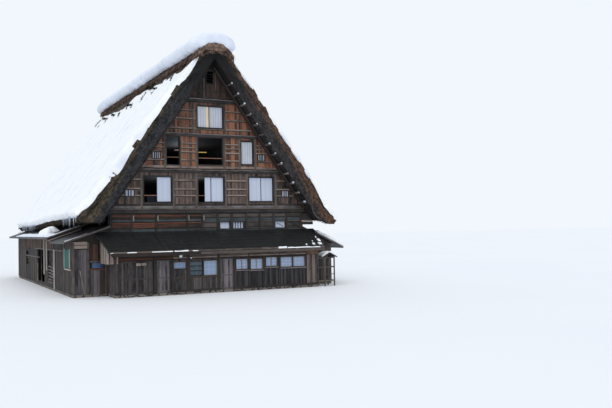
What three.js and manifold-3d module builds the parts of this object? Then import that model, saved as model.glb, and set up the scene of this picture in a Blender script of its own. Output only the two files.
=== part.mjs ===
// Steep-roofed thatched farmhouse under snow, built as an assembly of its own pieces.
// Millimetres. +X to the right of the front gable, +Y along the ridge to the back, +Z up.
// The origin is on the ground under the middle of the house.
import * as THREE from "three";
import { mergeVertices } from "three/addons/utils/BufferGeometryUtils.js";
import Module from "manifold-3d";

const wasm = await Module();
wasm.setup();

// Plan of the house
const GAP = 0.3; // running gap that touching pieces keep
const BODY_HALF = 6170; // half width of the body between its side frames
const GABLE_Y = 11620; // outer face of both gable walls
const PORCH_DEPTH = 1800; // depth of the low rooms in front of each gable
const PORCH_Y = GABLE_Y + PORCH_DEPTH;
const AISLE_HALF = 8200; // outer face of the side aisles
const WALL = 100;
const GABLE_WALL = 120;
const POST = 200;
const FLOOR_TOP = 150;

// Roof lines, on the right of the ridge: height at the ridge less slope times distance
const INNER_APEX = 13850;
const INNER_SLOPE = 1.427;
const OUTER_APEX = 15300;
const OUTER_SLOPE = 1.37;
const RIDGE_FLAT_Z = 14300;
const VERGE_OUT = 970;
const VERGE_Y = GABLE_Y + VERGE_OUT;
const EAVE_IN_X = 6790;
const EAVE_LOW = { x: 7900, z: 4200 };
const EAVE_TIP = { x: 8090, z: 4430 };
const EAVE_FLARE = { x: 7300, z: 5300 };

// Ridge thatch and snow
const RIDGE_OVERHANG = 190;
const RIDGE_EDGE_X = 1050;
const RIDGE_LIP = [80, 60]; // out and up from the thatch at the edge
const RIDGE_SHOULDER = { x: 1000, up: 330 };
const RIDGE_TOP = [[800, 14430], [450, 14660], [0, 14730]];
// Outline of the ridge snow from its left edge over the crown; it bulges over the left slope
const CROWN = [[-1280, 14380], [-1480, 14620], [-1440, 14850], [-1220, 15030], [-840, 15250], [-420, 15420],
  [0, 15500], [420, 15480], [820, 15340], [1150, 15090], [1300, 14800], [1180, 14420]];
const SNOW_LEFT = 300;
const SNOW_RIGHT = 240;
const SNOW_TOP_X = 1320;
const SNOW_TAPER = 500; // run from the snow's upper edge to its full depth
const SNOW_SHORT = 120; // distance that it keeps from the verges
const SNOW_LIP = [[260, 230], [240, 60], [120, -20]]; // past the eave, from the snow's lower edge

// Low roofs
const PORCH_ROOF = { high: 3580, low: 2410, reach: 2250, thick: 80, topHalf: 6950, eaveHalf: 6550 };
const AISLE_ROOF_THICK = 100;
const LEFT_FRONT_ROOF = { high: 3970, slope: 0.344, outer: 8700 };
const LEFT_REAR_ROOF = { high: 4280, slope: 0.341, outer: 8900 };
const RIGHT_ROOF = { high: 3750, slope: 0.4945, outer: 8900 };
const AISLE_ROOF_SPLIT_Y = -7150;
const AISLE_ROOF_END_Y = 12050;

// Attic storeys: base and top of each wall, its tie beam's top and its windows
const BEAM_OUT = 80;
const FLOOR_THICK = 120;
const STOREYS = [
  {
    base: 4660, beamTop: 4910, top: 7050,
    windows: [[-4130, -2470, 5300, 6810], [-830, 830, 5300, 6830], [2470, 4130, 5330, 6850],
      [-5160, -4780, 5660, 6000], [4740, 5150, 5650, 6000]],
  },
  {
    base: 7050, beamTop: 7240, top: 9230,
    windows: [[-2750, -1980, 7540, 9160], [-800, 770, 7560, 9190], [1990, 2780, 7620, 9060],
      [-3580, -3150, 7870, 8250], [3130, 3540, 7900, 8260]],
  },
  {
    base: 9230, beamTop: 9410, top: 11300,
    windows: [[-830, 830, 9790, 11120]],
  },
  {
    base: 11300, beamTop: 11530, top: null,
    windows: [[-220, 220, 12490, 13260]],
  },
];

// Sheets of sliding screens behind each storey's windows, as outlines with open bays
const SCREEN_THICK = 30;
const SCREENS = [
  {
    outline: [[-5300, 5250], [5300, 5250], [5300, 6060], [4300, 6060], [4300, 6880],
      [-4300, 6880], [-4300, 6060], [-5300, 6060]],
    open: [[-4130, -3350, 5300, 6810], [-830, -430, 5300, 6830]],
  },
  {
    outline: [[-3650, 7500], [3650, 7500], [3650, 8320], [2900, 8320], [2900, 9120],
      [1900, 9120], [1900, 9225], [-2900, 9225], [-2900, 8320], [-3650, 8320]],
    open: [[-2750, -1980, 7540, 9160], [-800, 770, 7560, 9190]],
  },
  {
    outline: [[-930, 9720], [930, 9720], [930, 11180], [-930, 11180]],
    open: [],
  },
];

// Front wall of the low rooms: doorways and windows along it
const HEADER_Z = 2000;
const PORCH_WALL = 90;
const DOUBLE_DOOR = { x0: -5980, x1: -4140 };
const SIDE_DOOR = { x0: -3950, x1: -3140 };
const CENTRE_DOOR = { x0: -150, x1: 660 };
const CENTRE_WINDOWS = [[-2970, -2250, 1470, 1840], [-2040, -1240, 1020, 1870], [-1190, -370, 1020, 1870]];
const RIGHT_WINDOWS = [[810, 1560, 1280, 1890], [1730, 2520, 1240, 1870], [2730, 3480, 1380, 1930],
  [3690, 4500, 1300, 1910], [4540, 5350, 1300, 1910]];
const BACK_WINDOWS = [[-4600, -3400, 1200, 1850], [-600, 600, 1200, 1850], [3400, 4600, 1200, 1850]];
const DOOR = { thick: 35, clear: 8, lap: 30, behind: 30 };
const END_SCREEN = { x0: -6660, low: 1900, boards: 30 };
const MEZZANINE_WINDOWS = [[530, 1150, 3700, 4070], [1380, 2060, 3700, 4070], [4230, 4910, 3700, 4080]];

// Sheets that close the windows from inside: [x0, x1, z0, z1], or [y0, y1, z0, z1] along the aisles
const SHEET_THICK = 20;
const PANES = {
  centre: [-3050, -300, 940, 1950], right: [760, 5430, 1160, 1970], back: [-4700, 4700, 1140, 1920],
  mezzanine: [400, 5000, 3640, 4140],
};
const AISLE_SHEETS = { left: [-11510, 7100, 560, 2760], leftFront: [-8090, -6400, 1500, 2000],
  right: [-9100, 9100, 1040, 2060] };

// Frame at the gable line and along both sides of the body
const FRAME_BEAM = { low: 3300, high: 3600 };
const FRAME_POSTS_X = [-3600, -1200, 1200, 3600];
const SIDE_POSTS = 9;
const SIDE_POST_STEP = 2300;
const SIDE_PLATE = { low: 4450, high: 4790 };

// Left aisle openings: [y0, y1, z0, z1] in the side wall and [x0, x1, z0, z1] in the front wall
const LEFT_SIDE_OPENINGS = [[-11250, -9350, 1600, 2680], [-5600, -3350, 620, 2500], [-1900, 1100, 350, 2500],
  [5200, 7000, 1300, 2300]];
const LEFT_SIDE_OPEN_BAY = LEFT_SIDE_OPENINGS[2];
const LEFT_FRONT_WINDOW = [-7200, -6450, 1580, 1920];
const LEFT_FRONT_GAP = [-7280, -6700, 2020, 2950];
const RIGHT_SIDE_OPENINGS = [[-9000, -7200, 1100, 2000], [-900, 900, 1100, 2000], [7200, 9000, 1100, 2000]];

// Small open frame at the right end of the low front wall, with its own little roof
const SIDE_FRAME = { x0: 6720, x1: 7470, depth: 900, bar: 70, rails: [300, 1150, 1730], postTop: 1800,
  roofLow: 1760, roofTop: 2060, side: 120, end: 80 };

// Verge rafters and the pole ends that they carry
const RAFTER = { near: 100, far: 310, y0: -12050, y1: -11850, foot: 10750 };
const POLE = { radius: 65, sides: 8, y0: -12480, y1: -11720, firstX: 1030, stepX: 412, count: 13 };

const paint = (color, roughness, metalness = 0) =>
  new THREE.MeshStandardMaterial({ color, roughness, metalness });
const FINISH = {
  darkTimber: paint(0x3a2e27, 0.85),
  board: paint(0x6b4630, 0.85),
  greyBoard: paint(0x5f554c, 0.9),
  thatch: paint(0x4f4437, 1.0),
  ridgeThatch: paint(0x6d5137, 1.0),
  snow: paint(0xf4f6fb, 0.8),
  paper: paint(0xe4e6ee, 0.9),
  glass: paint(0x9fb3c8, 0.3),
  roofing: paint(0x23272a, 0.6),
  door: paint(0x55483e, 0.85),
  stone: paint(0x6f6a63, 0.95),
};

const house = new THREE.Group();

// A named mesh of one sub-part, added to the house or to a group inside it
function piece(name, geometry, material, parent = house) {
  const mesh = new THREE.Mesh(geometry, material);
  mesh.name = name;
  parent.add(mesh);
  return mesh;
}

// Outline of [a, b] points, extruded along its own Z
function extrude(points, depth) {
  const shape = new THREE.Shape(points.map(([a, b]) => new THREE.Vector2(a, b)));
  return new THREE.ExtrudeGeometry(shape, { depth, bevelEnabled: false, steps: 1 });
}

// Outline in X and Z, extruded along Y from y0 to y1
function alongY(points, y0, y1) {
  return extrude(points, y1 - y0).rotateX(Math.PI / 2).translate(0, y1, 0);
}

// Outline in Y and Z, extruded along X from x0 to x1
function alongX(points, x0, x1) {
  const geometry = extrude(points, x1 - x0);
  const turn = new THREE.Matrix4().makeBasis(
    new THREE.Vector3(0, 1, 0), new THREE.Vector3(0, 0, 1), new THREE.Vector3(1, 0, 0));
  return geometry.applyMatrix4(turn).translate(x0, 0, 0);
}

// Outline in X and Y, extruded upwards from z0 to z1
function upright(points, z0, z1) {
  return extrude(points, z1 - z0).translate(0, 0, z0);
}

function box(x0, x1, y0, y1, z0, z1) {
  const geometry = new THREE.BoxGeometry(x1 - x0, y1 - y0, z1 - z0);
  return geometry.translate((x0 + x1) / 2, (y0 + y1) / 2, (z0 + z1) / 2);
}

function toSolid(geometry) {
  const bare = geometry.clone();
  bare.deleteAttribute("normal");
  bare.deleteAttribute("uv");
  const merged = mergeVertices(bare, 1e-3);
  const mesh = new wasm.Mesh({
    numProp: 3,
    vertProperties: new Float32Array(merged.attributes.position.array),
    triVerts: new Uint32Array(merged.index.array),
  });
  return new wasm.Manifold(mesh);
}

function fromSolid(solid) {
  const mesh = solid.getMesh();
  const geometry = new THREE.BufferGeometry();
  geometry.setAttribute("position", new THREE.BufferAttribute(new Float32Array(mesh.vertProperties), 3));
  geometry.setIndex(new THREE.BufferAttribute(new Uint32Array(mesh.triVerts), 1));
  geometry.computeVertexNormals();
  return geometry;
}

// Boxes that cut openings [x0, x1, z0, z1] through a wall between y0 and y1
function openings(windows, y0, y1) {
  return windows.map(([x0, x1, z0, z1]) => box(x0, x1, y0 - WALL, y1 + WALL, z0, z1));
}

// Joins geometries into one body and cuts others out of it
function joined(parts, cuts = []) {
  let solid = toSolid(parts[0]);
  for (const part of parts.slice(1)) solid = solid.add(toSolid(part));
  for (const cut of cuts) solid = solid.subtract(toSolid(cut));
  return fromSolid(solid);
}

const mirrorX = (points) => points.map(([x, z]) => [-x, z]).reverse();
const innerRoofX = (z) => (INNER_APEX - z) / INNER_SLOPE;
const outerRoofZ = (x) => OUTER_APEX - OUTER_SLOPE * x;

// Half width that a wall or floor has at a height, clear of the thatch over it
function clearHalf(z) {
  const squareGap = GAP * Math.hypot(1, 1 / INNER_SLOPE);
  return innerRoofX(z) - squareGap;
}

// Moves an open line of [x, z] points sideways, to the left of its direction
function offsetLine(points, distance) {
  const normals = points.slice(1).map(([x, z], i) => {
    const [px, pz] = points[i];
    const length = Math.hypot(x - px, z - pz);
    return [-(z - pz) / length, (x - px) / length];
  });
  return points.map(([x, z], i) => {
    const before = normals[Math.max(i - 1, 0)];
    const after = normals[Math.min(i, normals.length - 1)];
    const scale = distance / (1 + before[0] * after[0] + before[1] * after[1]);
    return [x + (before[0] + after[0]) * scale, z + (before[1] + after[1]) * scale];
  });
}

function groundFloor() {
  const plan = [[-AISLE_HALF, -GABLE_Y], [-BODY_HALF - WALL, -GABLE_Y], [-BODY_HALF - WALL, -PORCH_Y],
    [BODY_HALF + WALL, -PORCH_Y], [BODY_HALF + WALL, -GABLE_Y], [AISLE_HALF, -GABLE_Y],
    [AISLE_HALF, GABLE_Y], [BODY_HALF + WALL, GABLE_Y], [BODY_HALF + WALL, PORCH_Y],
    [-BODY_HALF - WALL, PORCH_Y], [-BODY_HALF - WALL, GABLE_Y], [-AISLE_HALF, GABLE_Y]];
  piece("ground_floor", upright(plan, 0, FLOOR_TOP), FINISH.stone);
}

// Height of a low roof's underside over the porch rooms, at a distance out from the gable wall
function porchUnderside(out) {
  const fall = (PORCH_ROOF.high - PORCH_ROOF.low) / PORCH_ROOF.reach;
  const drop = PORCH_ROOF.thick * Math.hypot(1, fall);
  return PORCH_ROOF.high - fall * out - drop;
}

// Roof over the low rooms; the back one is the front one turned round
function porchRoof(name, parent) {
  const { high, low, reach, thick, topHalf, eaveHalf } = PORCH_ROOF;
  const fall = (high - low) / reach;
  const drop = thick * Math.hypot(1, fall);
  const top = -GABLE_Y - GAP;
  const eave = -GABLE_Y - reach;
  const slab = alongX([[eave, low - drop], [top, high - drop], [top, high], [eave, low]], -topHalf, topHalf);
  const plan = upright([[-eaveHalf, eave - 1], [eaveHalf, eave - 1], [topHalf, top + 1], [-topHalf, top + 1]],
    low - 500, high + 500);
  piece(name, fromSolid(toSolid(slab).intersect(toSolid(plan))), FINISH.roofing, parent);
}

// End wall of the low rooms, from the porch front to the gable line
function porchEndWall(x0, x1) {
  const line = [[-PORCH_Y, FLOOR_TOP + GAP], [-GABLE_Y - GAP, FLOOR_TOP + GAP],
    [-GABLE_Y - GAP, porchUnderside(0) - GAP], [-PORCH_Y, porchUnderside(PORCH_DEPTH) - GAP]];
  return alongX(line, x0, x1);
}

function porchHeader() {
  const y0 = -PORCH_Y;
  const y1 = -PORCH_Y + PORCH_WALL;
  const line = [[y0, HEADER_Z], [y1, HEADER_Z], [y1, porchUnderside(PORCH_DEPTH - PORCH_WALL) - GAP],
    [y0, porchUnderside(PORCH_DEPTH) - GAP]];
  return alongX(line, -BODY_HALF + GAP, BODY_HALF - GAP);
}

// A stretch of the low front wall under the header, with its windows cut through
function frontStretch(x0, x1, windows = []) {
  const wall = [[x0, FLOOR_TOP + GAP], [x1, FLOOR_TOP + GAP], [x1, HEADER_Z - GAP], [x0, HEADER_Z - GAP]];
  const front = -PORCH_Y;
  const back = front + PORCH_WALL;
  return joined([alongY(wall, front, back)], openings(windows, front, back));
}

function frontWall() {
  const outer = BODY_HALF + WALL;
  const left = [porchEndWall(-outer, -BODY_HALF), frontStretch(-BODY_HALF - 1, DOUBLE_DOOR.x0)];
  piece("front_wall_left", joined(left), FINISH.greyBoard);
  piece("front_wall_door_post", frontStretch(DOUBLE_DOOR.x1, SIDE_DOOR.x0), FINISH.darkTimber);
  piece("front_wall_centre", frontStretch(SIDE_DOOR.x1, CENTRE_DOOR.x0, CENTRE_WINDOWS), FINISH.greyBoard);
  const right = [porchEndWall(BODY_HALF, outer), frontStretch(CENTRE_DOOR.x1, BODY_HALF + 1, RIGHT_WINDOWS)];
  piece("front_wall_right", joined(right), FINISH.greyBoard);
  piece("front_wall_header", porchHeader(), FINISH.board);
}

// Sheet that closes windows from inside a wall whose inner face is at y
function insideSheet(name, [x0, x1, z0, z1], y, material, parent) {
  piece(name, box(x0, x1, y + GAP, y + GAP + SHEET_THICK, z0, z1), material, parent);
}

function panes() {
  const inner = -PORCH_Y + PORCH_WALL;
  insideSheet("panes_front_centre", PANES.centre, inner, FINISH.glass, house);
  insideSheet("panes_front_right", PANES.right, inner, FINISH.glass, house);
  insideSheet("panes_back", PANES.back, inner, FINISH.glass, back);
  insideSheet("panes_front_mezzanine", PANES.mezzanine, -GABLE_Y + GABLE_WALL, FINISH.paper, house);
}

// Boarded sliding doors: a pair in their own two tracks, and two single leaves behind the wall
function doors() {
  const low = FLOOR_TOP + DOOR.clear;
  const high = HEADER_Z - DOOR.clear;
  const middle = (DOUBLE_DOOR.x0 + DOUBLE_DOOR.x1) / 2;
  const outerTrack = -PORCH_Y + 8;
  const innerTrack = outerTrack + DOOR.thick + DOOR.clear;
  const leaf = (name, x0, x1, y) => piece(name, box(x0, x1, y, y + DOOR.thick, low, high), FINISH.door);
  leaf("door_pair_left", DOUBLE_DOOR.x0 + DOOR.clear, middle + DOOR.lap, outerTrack);
  leaf("door_pair_right", middle - DOOR.lap, DOUBLE_DOOR.x1 - DOOR.clear, innerTrack);
  const behind = -PORCH_Y + PORCH_WALL + DOOR.behind;
  leaf("door_side", SIDE_DOOR.x0 - DOOR.lap, SIDE_DOOR.x1 + DOOR.lap, behind);
  leaf("door_centre", CENTRE_DOOR.x0 - DOOR.lap, CENTRE_DOOR.x1 + DOOR.lap, behind);
}

// Boards that hang under the left end of the front low roof
function endScreen() {
  const { x0, low, boards } = END_SCREEN;
  const top = (out) => porchUnderside(out) - GAP;
  const side = [[-PORCH_Y, low], [-GABLE_Y - GAP, low], [-GABLE_Y - GAP, top(0)],
    [-PORCH_Y, top(PORCH_DEPTH)]];
  const front = [[-PORCH_Y, low], [-PORCH_Y + boards, low],
    [-PORCH_Y + boards, top(PORCH_DEPTH - boards)], [-PORCH_Y, top(PORCH_DEPTH)]];
  const parts = [alongX(side, x0, x0 + boards), alongX(front, x0, -BODY_HALF - WALL - GAP)];
  piece("left_end_screen", joined(parts), FINISH.greyBoard);
}

// Posts and beam at the gable line, with the band of wall that they carry up to the attic
function gableFrame(name, windows, parent) {
  const y0 = -GABLE_Y;
  const y1 = -GABLE_Y + POST;
  const low = FLOOR_TOP + GAP;
  const top = STOREYS[0].base - GAP;
  const posts = FRAME_POSTS_X.map((x) => box(x - POST / 2, x + POST / 2, y0, y1, low, FRAME_BEAM.low + 1));
  const corners = [-BODY_HALF, BODY_HALF - POST].map((x) => box(x, x + POST, y0, y1, low, top));
  const beam = box(-BODY_HALF, BODY_HALF, y0, y1, FRAME_BEAM.low, FRAME_BEAM.high);
  const band = [[-BODY_HALF, FRAME_BEAM.low], [BODY_HALF, FRAME_BEAM.low], [BODY_HALF, top],
    [-BODY_HALF, top]];
  const wall = alongY(band, y0, y0 + GABLE_WALL);
  const cuts = openings(windows, y0, y0 + GABLE_WALL);
  piece(name, joined([beam, wall, ...posts, ...corners], cuts), FINISH.board, parent);
}

// Posts and plate along one side of the body, open to the aisle
function sideFrame(name, side) {
  const x0 = side > 0 ? BODY_HALF - POST : -BODY_HALF;
  const reach = GABLE_Y - POST - GAP;
  const parts = [box(x0, x0 + POST, -reach, reach, SIDE_PLATE.low, SIDE_PLATE.high - GAP)];
  for (let i = 0; i < SIDE_POSTS; i += 1) {
    const y = (i - (SIDE_POSTS - 1) / 2) * SIDE_POST_STEP;
    parts.push(box(x0, x0 + POST, y - POST / 2, y + POST / 2, FLOOR_TOP + GAP, SIDE_PLATE.low + 1));
  }
  piece(name, joined(parts), FINISH.darkTimber);
}

// Height of an aisle roof's underside at a distance x from the middle of the house
function aisleUnderside(roof, x) {
  return roof.high - roof.slope * (x - BODY_HALF) - AISLE_ROOF_THICK * Math.hypot(1, roof.slope);
}

function aisleRoofSlab(roof, side, y0, y1) {
  const inner = BODY_HALF + GAP;
  const topAt = (x) => roof.high - roof.slope * (x - BODY_HALF);
  const right = [[inner, aisleUnderside(roof, inner)], [roof.outer, aisleUnderside(roof, roof.outer)],
    [roof.outer, topAt(roof.outer)], [inner, topAt(inner)]];
  return alongY(side > 0 ? right : mirrorX(right), y0, y1);
}

function aisleRoofs() {
  const lap = 300;
  piece("left_aisle_roof_front",
    aisleRoofSlab(LEFT_FRONT_ROOF, -1, -AISLE_ROOF_END_Y, AISLE_ROOF_SPLIT_Y - GAP), FINISH.roofing);
  piece("left_aisle_roof_rear",
    aisleRoofSlab(LEFT_REAR_ROOF, -1, AISLE_ROOF_SPLIT_Y - lap, AISLE_ROOF_END_Y), FINISH.roofing);
  const right = aisleRoofSlab(RIGHT_ROOF, 1, -AISLE_ROOF_END_Y, AISLE_ROOF_END_Y);
  const cornerX = PORCH_ROOF.topHalf + 20;
  const corners = [-1, 1].map((end) => {
    const reach = [end * (GABLE_Y - GAP), end * (AISLE_ROOF_END_Y + 100)];
    return box(0, cornerX, Math.min(...reach), Math.max(...reach), 0, RIGHT_ROOF.high + 100);
  });
  piece("right_aisle_roof", joined([right], corners), FINISH.roofing);
}

// Side and end walls of one aisle as a U on plan, their tops under the aisle's roof
function aisleWallParts(side, stretches) {
  const inner = AISLE_HALF - WALL;
  const foot = FLOOR_TOP + GAP;
  const turned = (points) => (side > 0 ? points : mirrorX(points));
  const parts = stretches.map(([roof, y0, y1]) => {
    const line = [[inner, foot], [AISLE_HALF, foot], [AISLE_HALF, aisleUnderside(roof, AISLE_HALF) - GAP],
      [inner, aisleUnderside(roof, inner) - GAP]];
    return alongY(turned(line), y0, y1);
  });
  const near = BODY_HALF + GAP;
  const ends = [[stretches[0][0], -GABLE_Y, -GABLE_Y + WALL], [stretches.at(-1)[0], GABLE_Y - WALL, GABLE_Y]];
  for (const [roof, y0, y1] of ends) {
    const far = AISLE_HALF - 1;
    const line = [[near, foot], [far, foot], [far, aisleUnderside(roof, far) - GAP],
      [near, aisleUnderside(roof, near) - GAP]];
    parts.push(alongY(turned(line), y0, y1));
  }
  return parts;
}

function sideCuts(side, openings) {
  const x0 = side > 0 ? AISLE_HALF - 2 * WALL : -AISLE_HALF - WALL;
  return openings.map(([y0, y1, z0, z1]) => box(x0, x0 + 3 * WALL, y0, y1, z0, z1));
}

function aisleWalls() {
  const left = aisleWallParts(-1, [[LEFT_FRONT_ROOF, -GABLE_Y, AISLE_ROOF_SPLIT_Y],
    [LEFT_REAR_ROOF, AISLE_ROOF_SPLIT_Y, GABLE_Y]]);
  const frontCuts = [LEFT_FRONT_WINDOW, LEFT_FRONT_GAP].map(([x0, x1, z0, z1]) =>
    box(x0, x1, -GABLE_Y - WALL, -GABLE_Y + 2 * WALL, z0, z1));
  const leftCuts = [...sideCuts(-1, LEFT_SIDE_OPENINGS), ...frontCuts];
  piece("left_aisle_wall", joined(left, leftCuts), FINISH.greyBoard);
  const right = aisleWallParts(1, [[RIGHT_ROOF, -GABLE_Y, GABLE_Y]]);
  piece("right_aisle_wall", joined(right, sideCuts(1, RIGHT_SIDE_OPENINGS)), FINISH.greyBoard);
}

// Sheets that close the aisles' windows from inside
function aisleScreens() {
  const inner = AISLE_HALF - WALL - GAP;
  const front = -GABLE_Y + WALL + GAP;
  const sideSheet = (x0, [y0, y1, z0, z1]) => box(x0, x0 + SHEET_THICK, y0, y1, z0, z1);
  const [bayStart, bayEnd, bayLow, bayHigh] = LEFT_SIDE_OPEN_BAY;
  const bay = box(-inner - 1, -inner + SHEET_THICK + 1, bayStart, bayEnd, bayLow, bayHigh);
  const [frontX0, frontX1, frontZ0, frontZ1] = AISLE_SHEETS.leftFront;
  const end = box(frontX0, frontX1, front, front + SHEET_THICK, frontZ0, frontZ1);
  piece("left_aisle_screens", joined([sideSheet(-inner, AISLE_SHEETS.left), end], [bay]), FINISH.paper);
  piece("right_aisle_screens", sideSheet(inner - SHEET_THICK, AISLE_SHEETS.right), FINISH.paper);
}

// One storey of the gable wall over its tie beam, in its own place for the front gable
function gableStoreyParts({ base, beamTop, top, windows }) {
  const y0 = -GABLE_Y;
  const y1 = -GABLE_Y + GABLE_WALL;
  const foot = clearHalf(base);
  const head = top === null ? 0 : clearHalf(top - GAP);
  const peak = INNER_APEX - GAP * Math.hypot(1, INNER_SLOPE);
  const upper = top === null ? [[0, peak]] : [[head, top - GAP], [-head, top - GAP]];
  const plain = alongY([[-foot, base], [foot, base], ...upper], y0, y1);
  const wall = joined([plain], openings(windows, y0, y1));
  const shoulder = clearHalf(beamTop);
  const beam = alongY([[-foot, base], [foot, base], [shoulder, beamTop], [-shoulder, beamTop]],
    y0 - BEAM_OUT, y0 + 1);
  return [wall, beam];
}

function frontGable() {
  STOREYS.forEach((storey, i) => {
    const finish = i === 0 ? FINISH.greyBoard : FINISH.board;
    piece(`front_gable_${i + 1}`, joined(gableStoreyParts(storey)), finish);
  });
}

function backGable(parent) {
  const parts = STOREYS.flatMap(({ base, beamTop, top, windows }) =>
    gableStoreyParts({ base, beamTop, top: top === null ? null : top + 2 * GAP, windows }));
  piece("back_gable", joined(parts), FINISH.board, parent);
}

function screens(prefix, parent, openBays) {
  const y0 = -GABLE_Y + GABLE_WALL + GAP;
  SCREENS.forEach(({ outline: edge, open }, i) => {
    const sheet = alongY(edge, y0, y0 + SCREEN_THICK);
    const cuts = openings(openBays ? open : [], y0, y0 + SCREEN_THICK);
    piece(`${prefix}_${i + 1}`, joined([sheet], cuts), FINISH.paper, parent);
  });
}

function atticFloors() {
  STOREYS.forEach(({ beamTop }, i) => {
    const low = beamTop - FLOOR_THICK;
    const wide = clearHalf(low);
    const narrow = clearHalf(beamTop);
    const reach = GABLE_Y - GABLE_WALL - GAP;
    const section = [[-wide, low], [wide, low], [narrow, beamTop], [-narrow, beamTop]];
    piece(`attic_floor_${i + 1}`, alongY(section, -reach, reach), FINISH.darkTimber);
  });
}

// Point at a distance down the inner roof line and a depth below it
function underRoof(run, depth) {
  const length = Math.hypot(1, INNER_SLOPE);
  const down = [1 / length, -INNER_SLOPE / length];
  const inward = [-INNER_SLOPE / length, -1 / length];
  return [run * down[0] + depth * inward[0], INNER_APEX + run * down[1] + depth * inward[1]];
}

// Rafter under the verge, with the pole ends that lie on it and reach out under the thatch
function vergeRafter(name, side, parent) {
  const apexRun = (depth) => (depth + GAP) * INNER_SLOPE;
  const section = [underRoof(apexRun(RAFTER.far), RAFTER.far), underRoof(RAFTER.foot, RAFTER.far),
    underRoof(RAFTER.foot, RAFTER.near), underRoof(apexRun(RAFTER.near), RAFTER.near)];
  const turned = side > 0 ? section : mirrorX(section);
  const parts = [alongY(turned, RAFTER.y0, RAFTER.y1)];
  for (let i = 0; i < POLE.count; i += 1) {
    const along = (POLE.firstX + i * POLE.stepX) * Math.hypot(1, INNER_SLOPE);
    const [x, z] = underRoof(along, POLE.radius * Math.cos(Math.PI / POLE.sides) + GAP);
    const pole = new THREE.CylinderGeometry(POLE.radius, POLE.radius, POLE.y1 - POLE.y0, POLE.sides);
    const flatUp = Math.atan(INNER_SLOPE) - Math.PI / POLE.sides;
    parts.push(pole.rotateY(side * flatUp).translate(side * x, (POLE.y0 + POLE.y1) / 2, z));
  }
  piece(name, joined(parts), FINISH.darkTimber, parent);
}

// Thatch of one slope, cut square at both verges
function thatch(name, side) {
  const ridgeX = (OUTER_APEX - RIDGE_FLAT_Z) / OUTER_SLOPE;
  const middle = GAP / 2;
  const section = [[middle, INNER_APEX], [EAVE_IN_X, INNER_APEX - INNER_SLOPE * EAVE_IN_X],
    [EAVE_LOW.x, EAVE_LOW.z], [EAVE_TIP.x, EAVE_TIP.z], [EAVE_FLARE.x, EAVE_FLARE.z],
    [ridgeX, RIDGE_FLAT_Z], [middle, RIDGE_FLAT_Z]];
  piece(name, alongY(side > 0 ? section.reverse() : mirrorX(section), -VERGE_Y, VERGE_Y), FINISH.thatch);
}

// Right half of the ridge thatch's outline, from its lower edge up to the top
function ridgeOutline() {
  const [edgeX, edgeZ] = [RIDGE_EDGE_X, outerRoofZ(RIDGE_EDGE_X)];
  return [[edgeX + RIDGE_LIP[0], edgeZ + RIDGE_LIP[1]], [RIDGE_SHOULDER.x, edgeZ + RIDGE_SHOULDER.up],
    ...RIDGE_TOP];
}

function ridgeThatch() {
  const under = [[0, RIDGE_FLAT_Z], [(OUTER_APEX - RIDGE_FLAT_Z) / OUTER_SLOPE, RIDGE_FLAT_Z],
    [RIDGE_EDGE_X, outerRoofZ(RIDGE_EDGE_X)]];
  const lifted = offsetLine(under, GAP);
  lifted[0][0] = 0;
  const right = [...lifted, ...ridgeOutline()];
  const left = mirrorX(right).slice(1, -1);
  const reach = VERGE_Y + RIDGE_OVERHANG;
  piece("ridge_thatch", alongY([...right, ...left], -reach, reach), FINISH.ridgeThatch);
}

// Snow lying on one slope, thinner at the top and rounded over the eave
function slopeSnow(name, side, depth) {
  const face = [[EAVE_TIP.x - 30, EAVE_TIP.z + 33], [EAVE_FLARE.x, EAVE_FLARE.z],
    [SNOW_TOP_X, outerRoofZ(SNOW_TOP_X)]];
  const under = offsetLine(face, -GAP);
  const [tipX, tipZ] = under[0];
  const [flareX, flareZ] = under[1];
  const [topX, topZ] = under[2];
  const lean = depth / Math.hypot(1, OUTER_SLOPE);
  const section = [...under, [topX + 0.5 * lean, topZ + 0.45 * lean],
    [topX + SNOW_TAPER + OUTER_SLOPE * lean, outerRoofZ(topX + SNOW_TAPER) + lean],
    [flareX + OUTER_SLOPE * lean, flareZ + lean], ...SNOW_LIP.map(([out, up]) => [tipX + out, tipZ + up])];
  const reach = VERGE_Y - SNOW_SHORT;
  piece(name, alongY(side > 0 ? section : mirrorX(section), -reach, reach), FINISH.snow);
}

// Thick snow that lies along the ridge
function ridgeSnow() {
  const seat = ridgeOutline().slice(1);
  const raised = offsetLine(seat, -GAP);
  raised.at(-1)[0] = 0;
  const section = [...raised, ...mirrorX(raised).slice(1), ...CROWN];
  const reach = VERGE_Y + RIDGE_OVERHANG;
  piece("ridge_snow", alongY(section, -reach, reach), FINISH.snow);
}

// Small open frame with its own little roof, at the right end of the low front wall
function porchFrame() {
  const { x0, x1, depth, bar, rails, postTop, roofLow, roofTop, side, end } = SIDE_FRAME;
  const y0 = -PORCH_Y;
  const y1 = -PORCH_Y + depth;
  const parts = [];
  for (const x of [x0, x1 - bar]) {
    for (const y of [y0, y1 - bar]) parts.push(box(x, x + bar, y, y + bar, 0, postTop));
    for (const z of rails) parts.push(box(x, x + bar, y0, y1, z, z + bar));
  }
  const wall = BODY_HALF + WALL + GAP;
  for (const y of [y0, y1 - bar]) {
    for (const z of rails) parts.push(box(wall, x1, y, y + bar, z, z + bar));
  }
  const roof = [[x0 - side, roofLow], [x1 + side, roofLow], [x1 + side, postTop],
    [(x0 + x1) / 2, roofTop], [x0 - side, postTop]];
  parts.push(alongY(roof, y0 - end, y1 + end));
  piece("side_porch_frame", joined(parts), FINISH.darkTimber);
}

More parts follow.
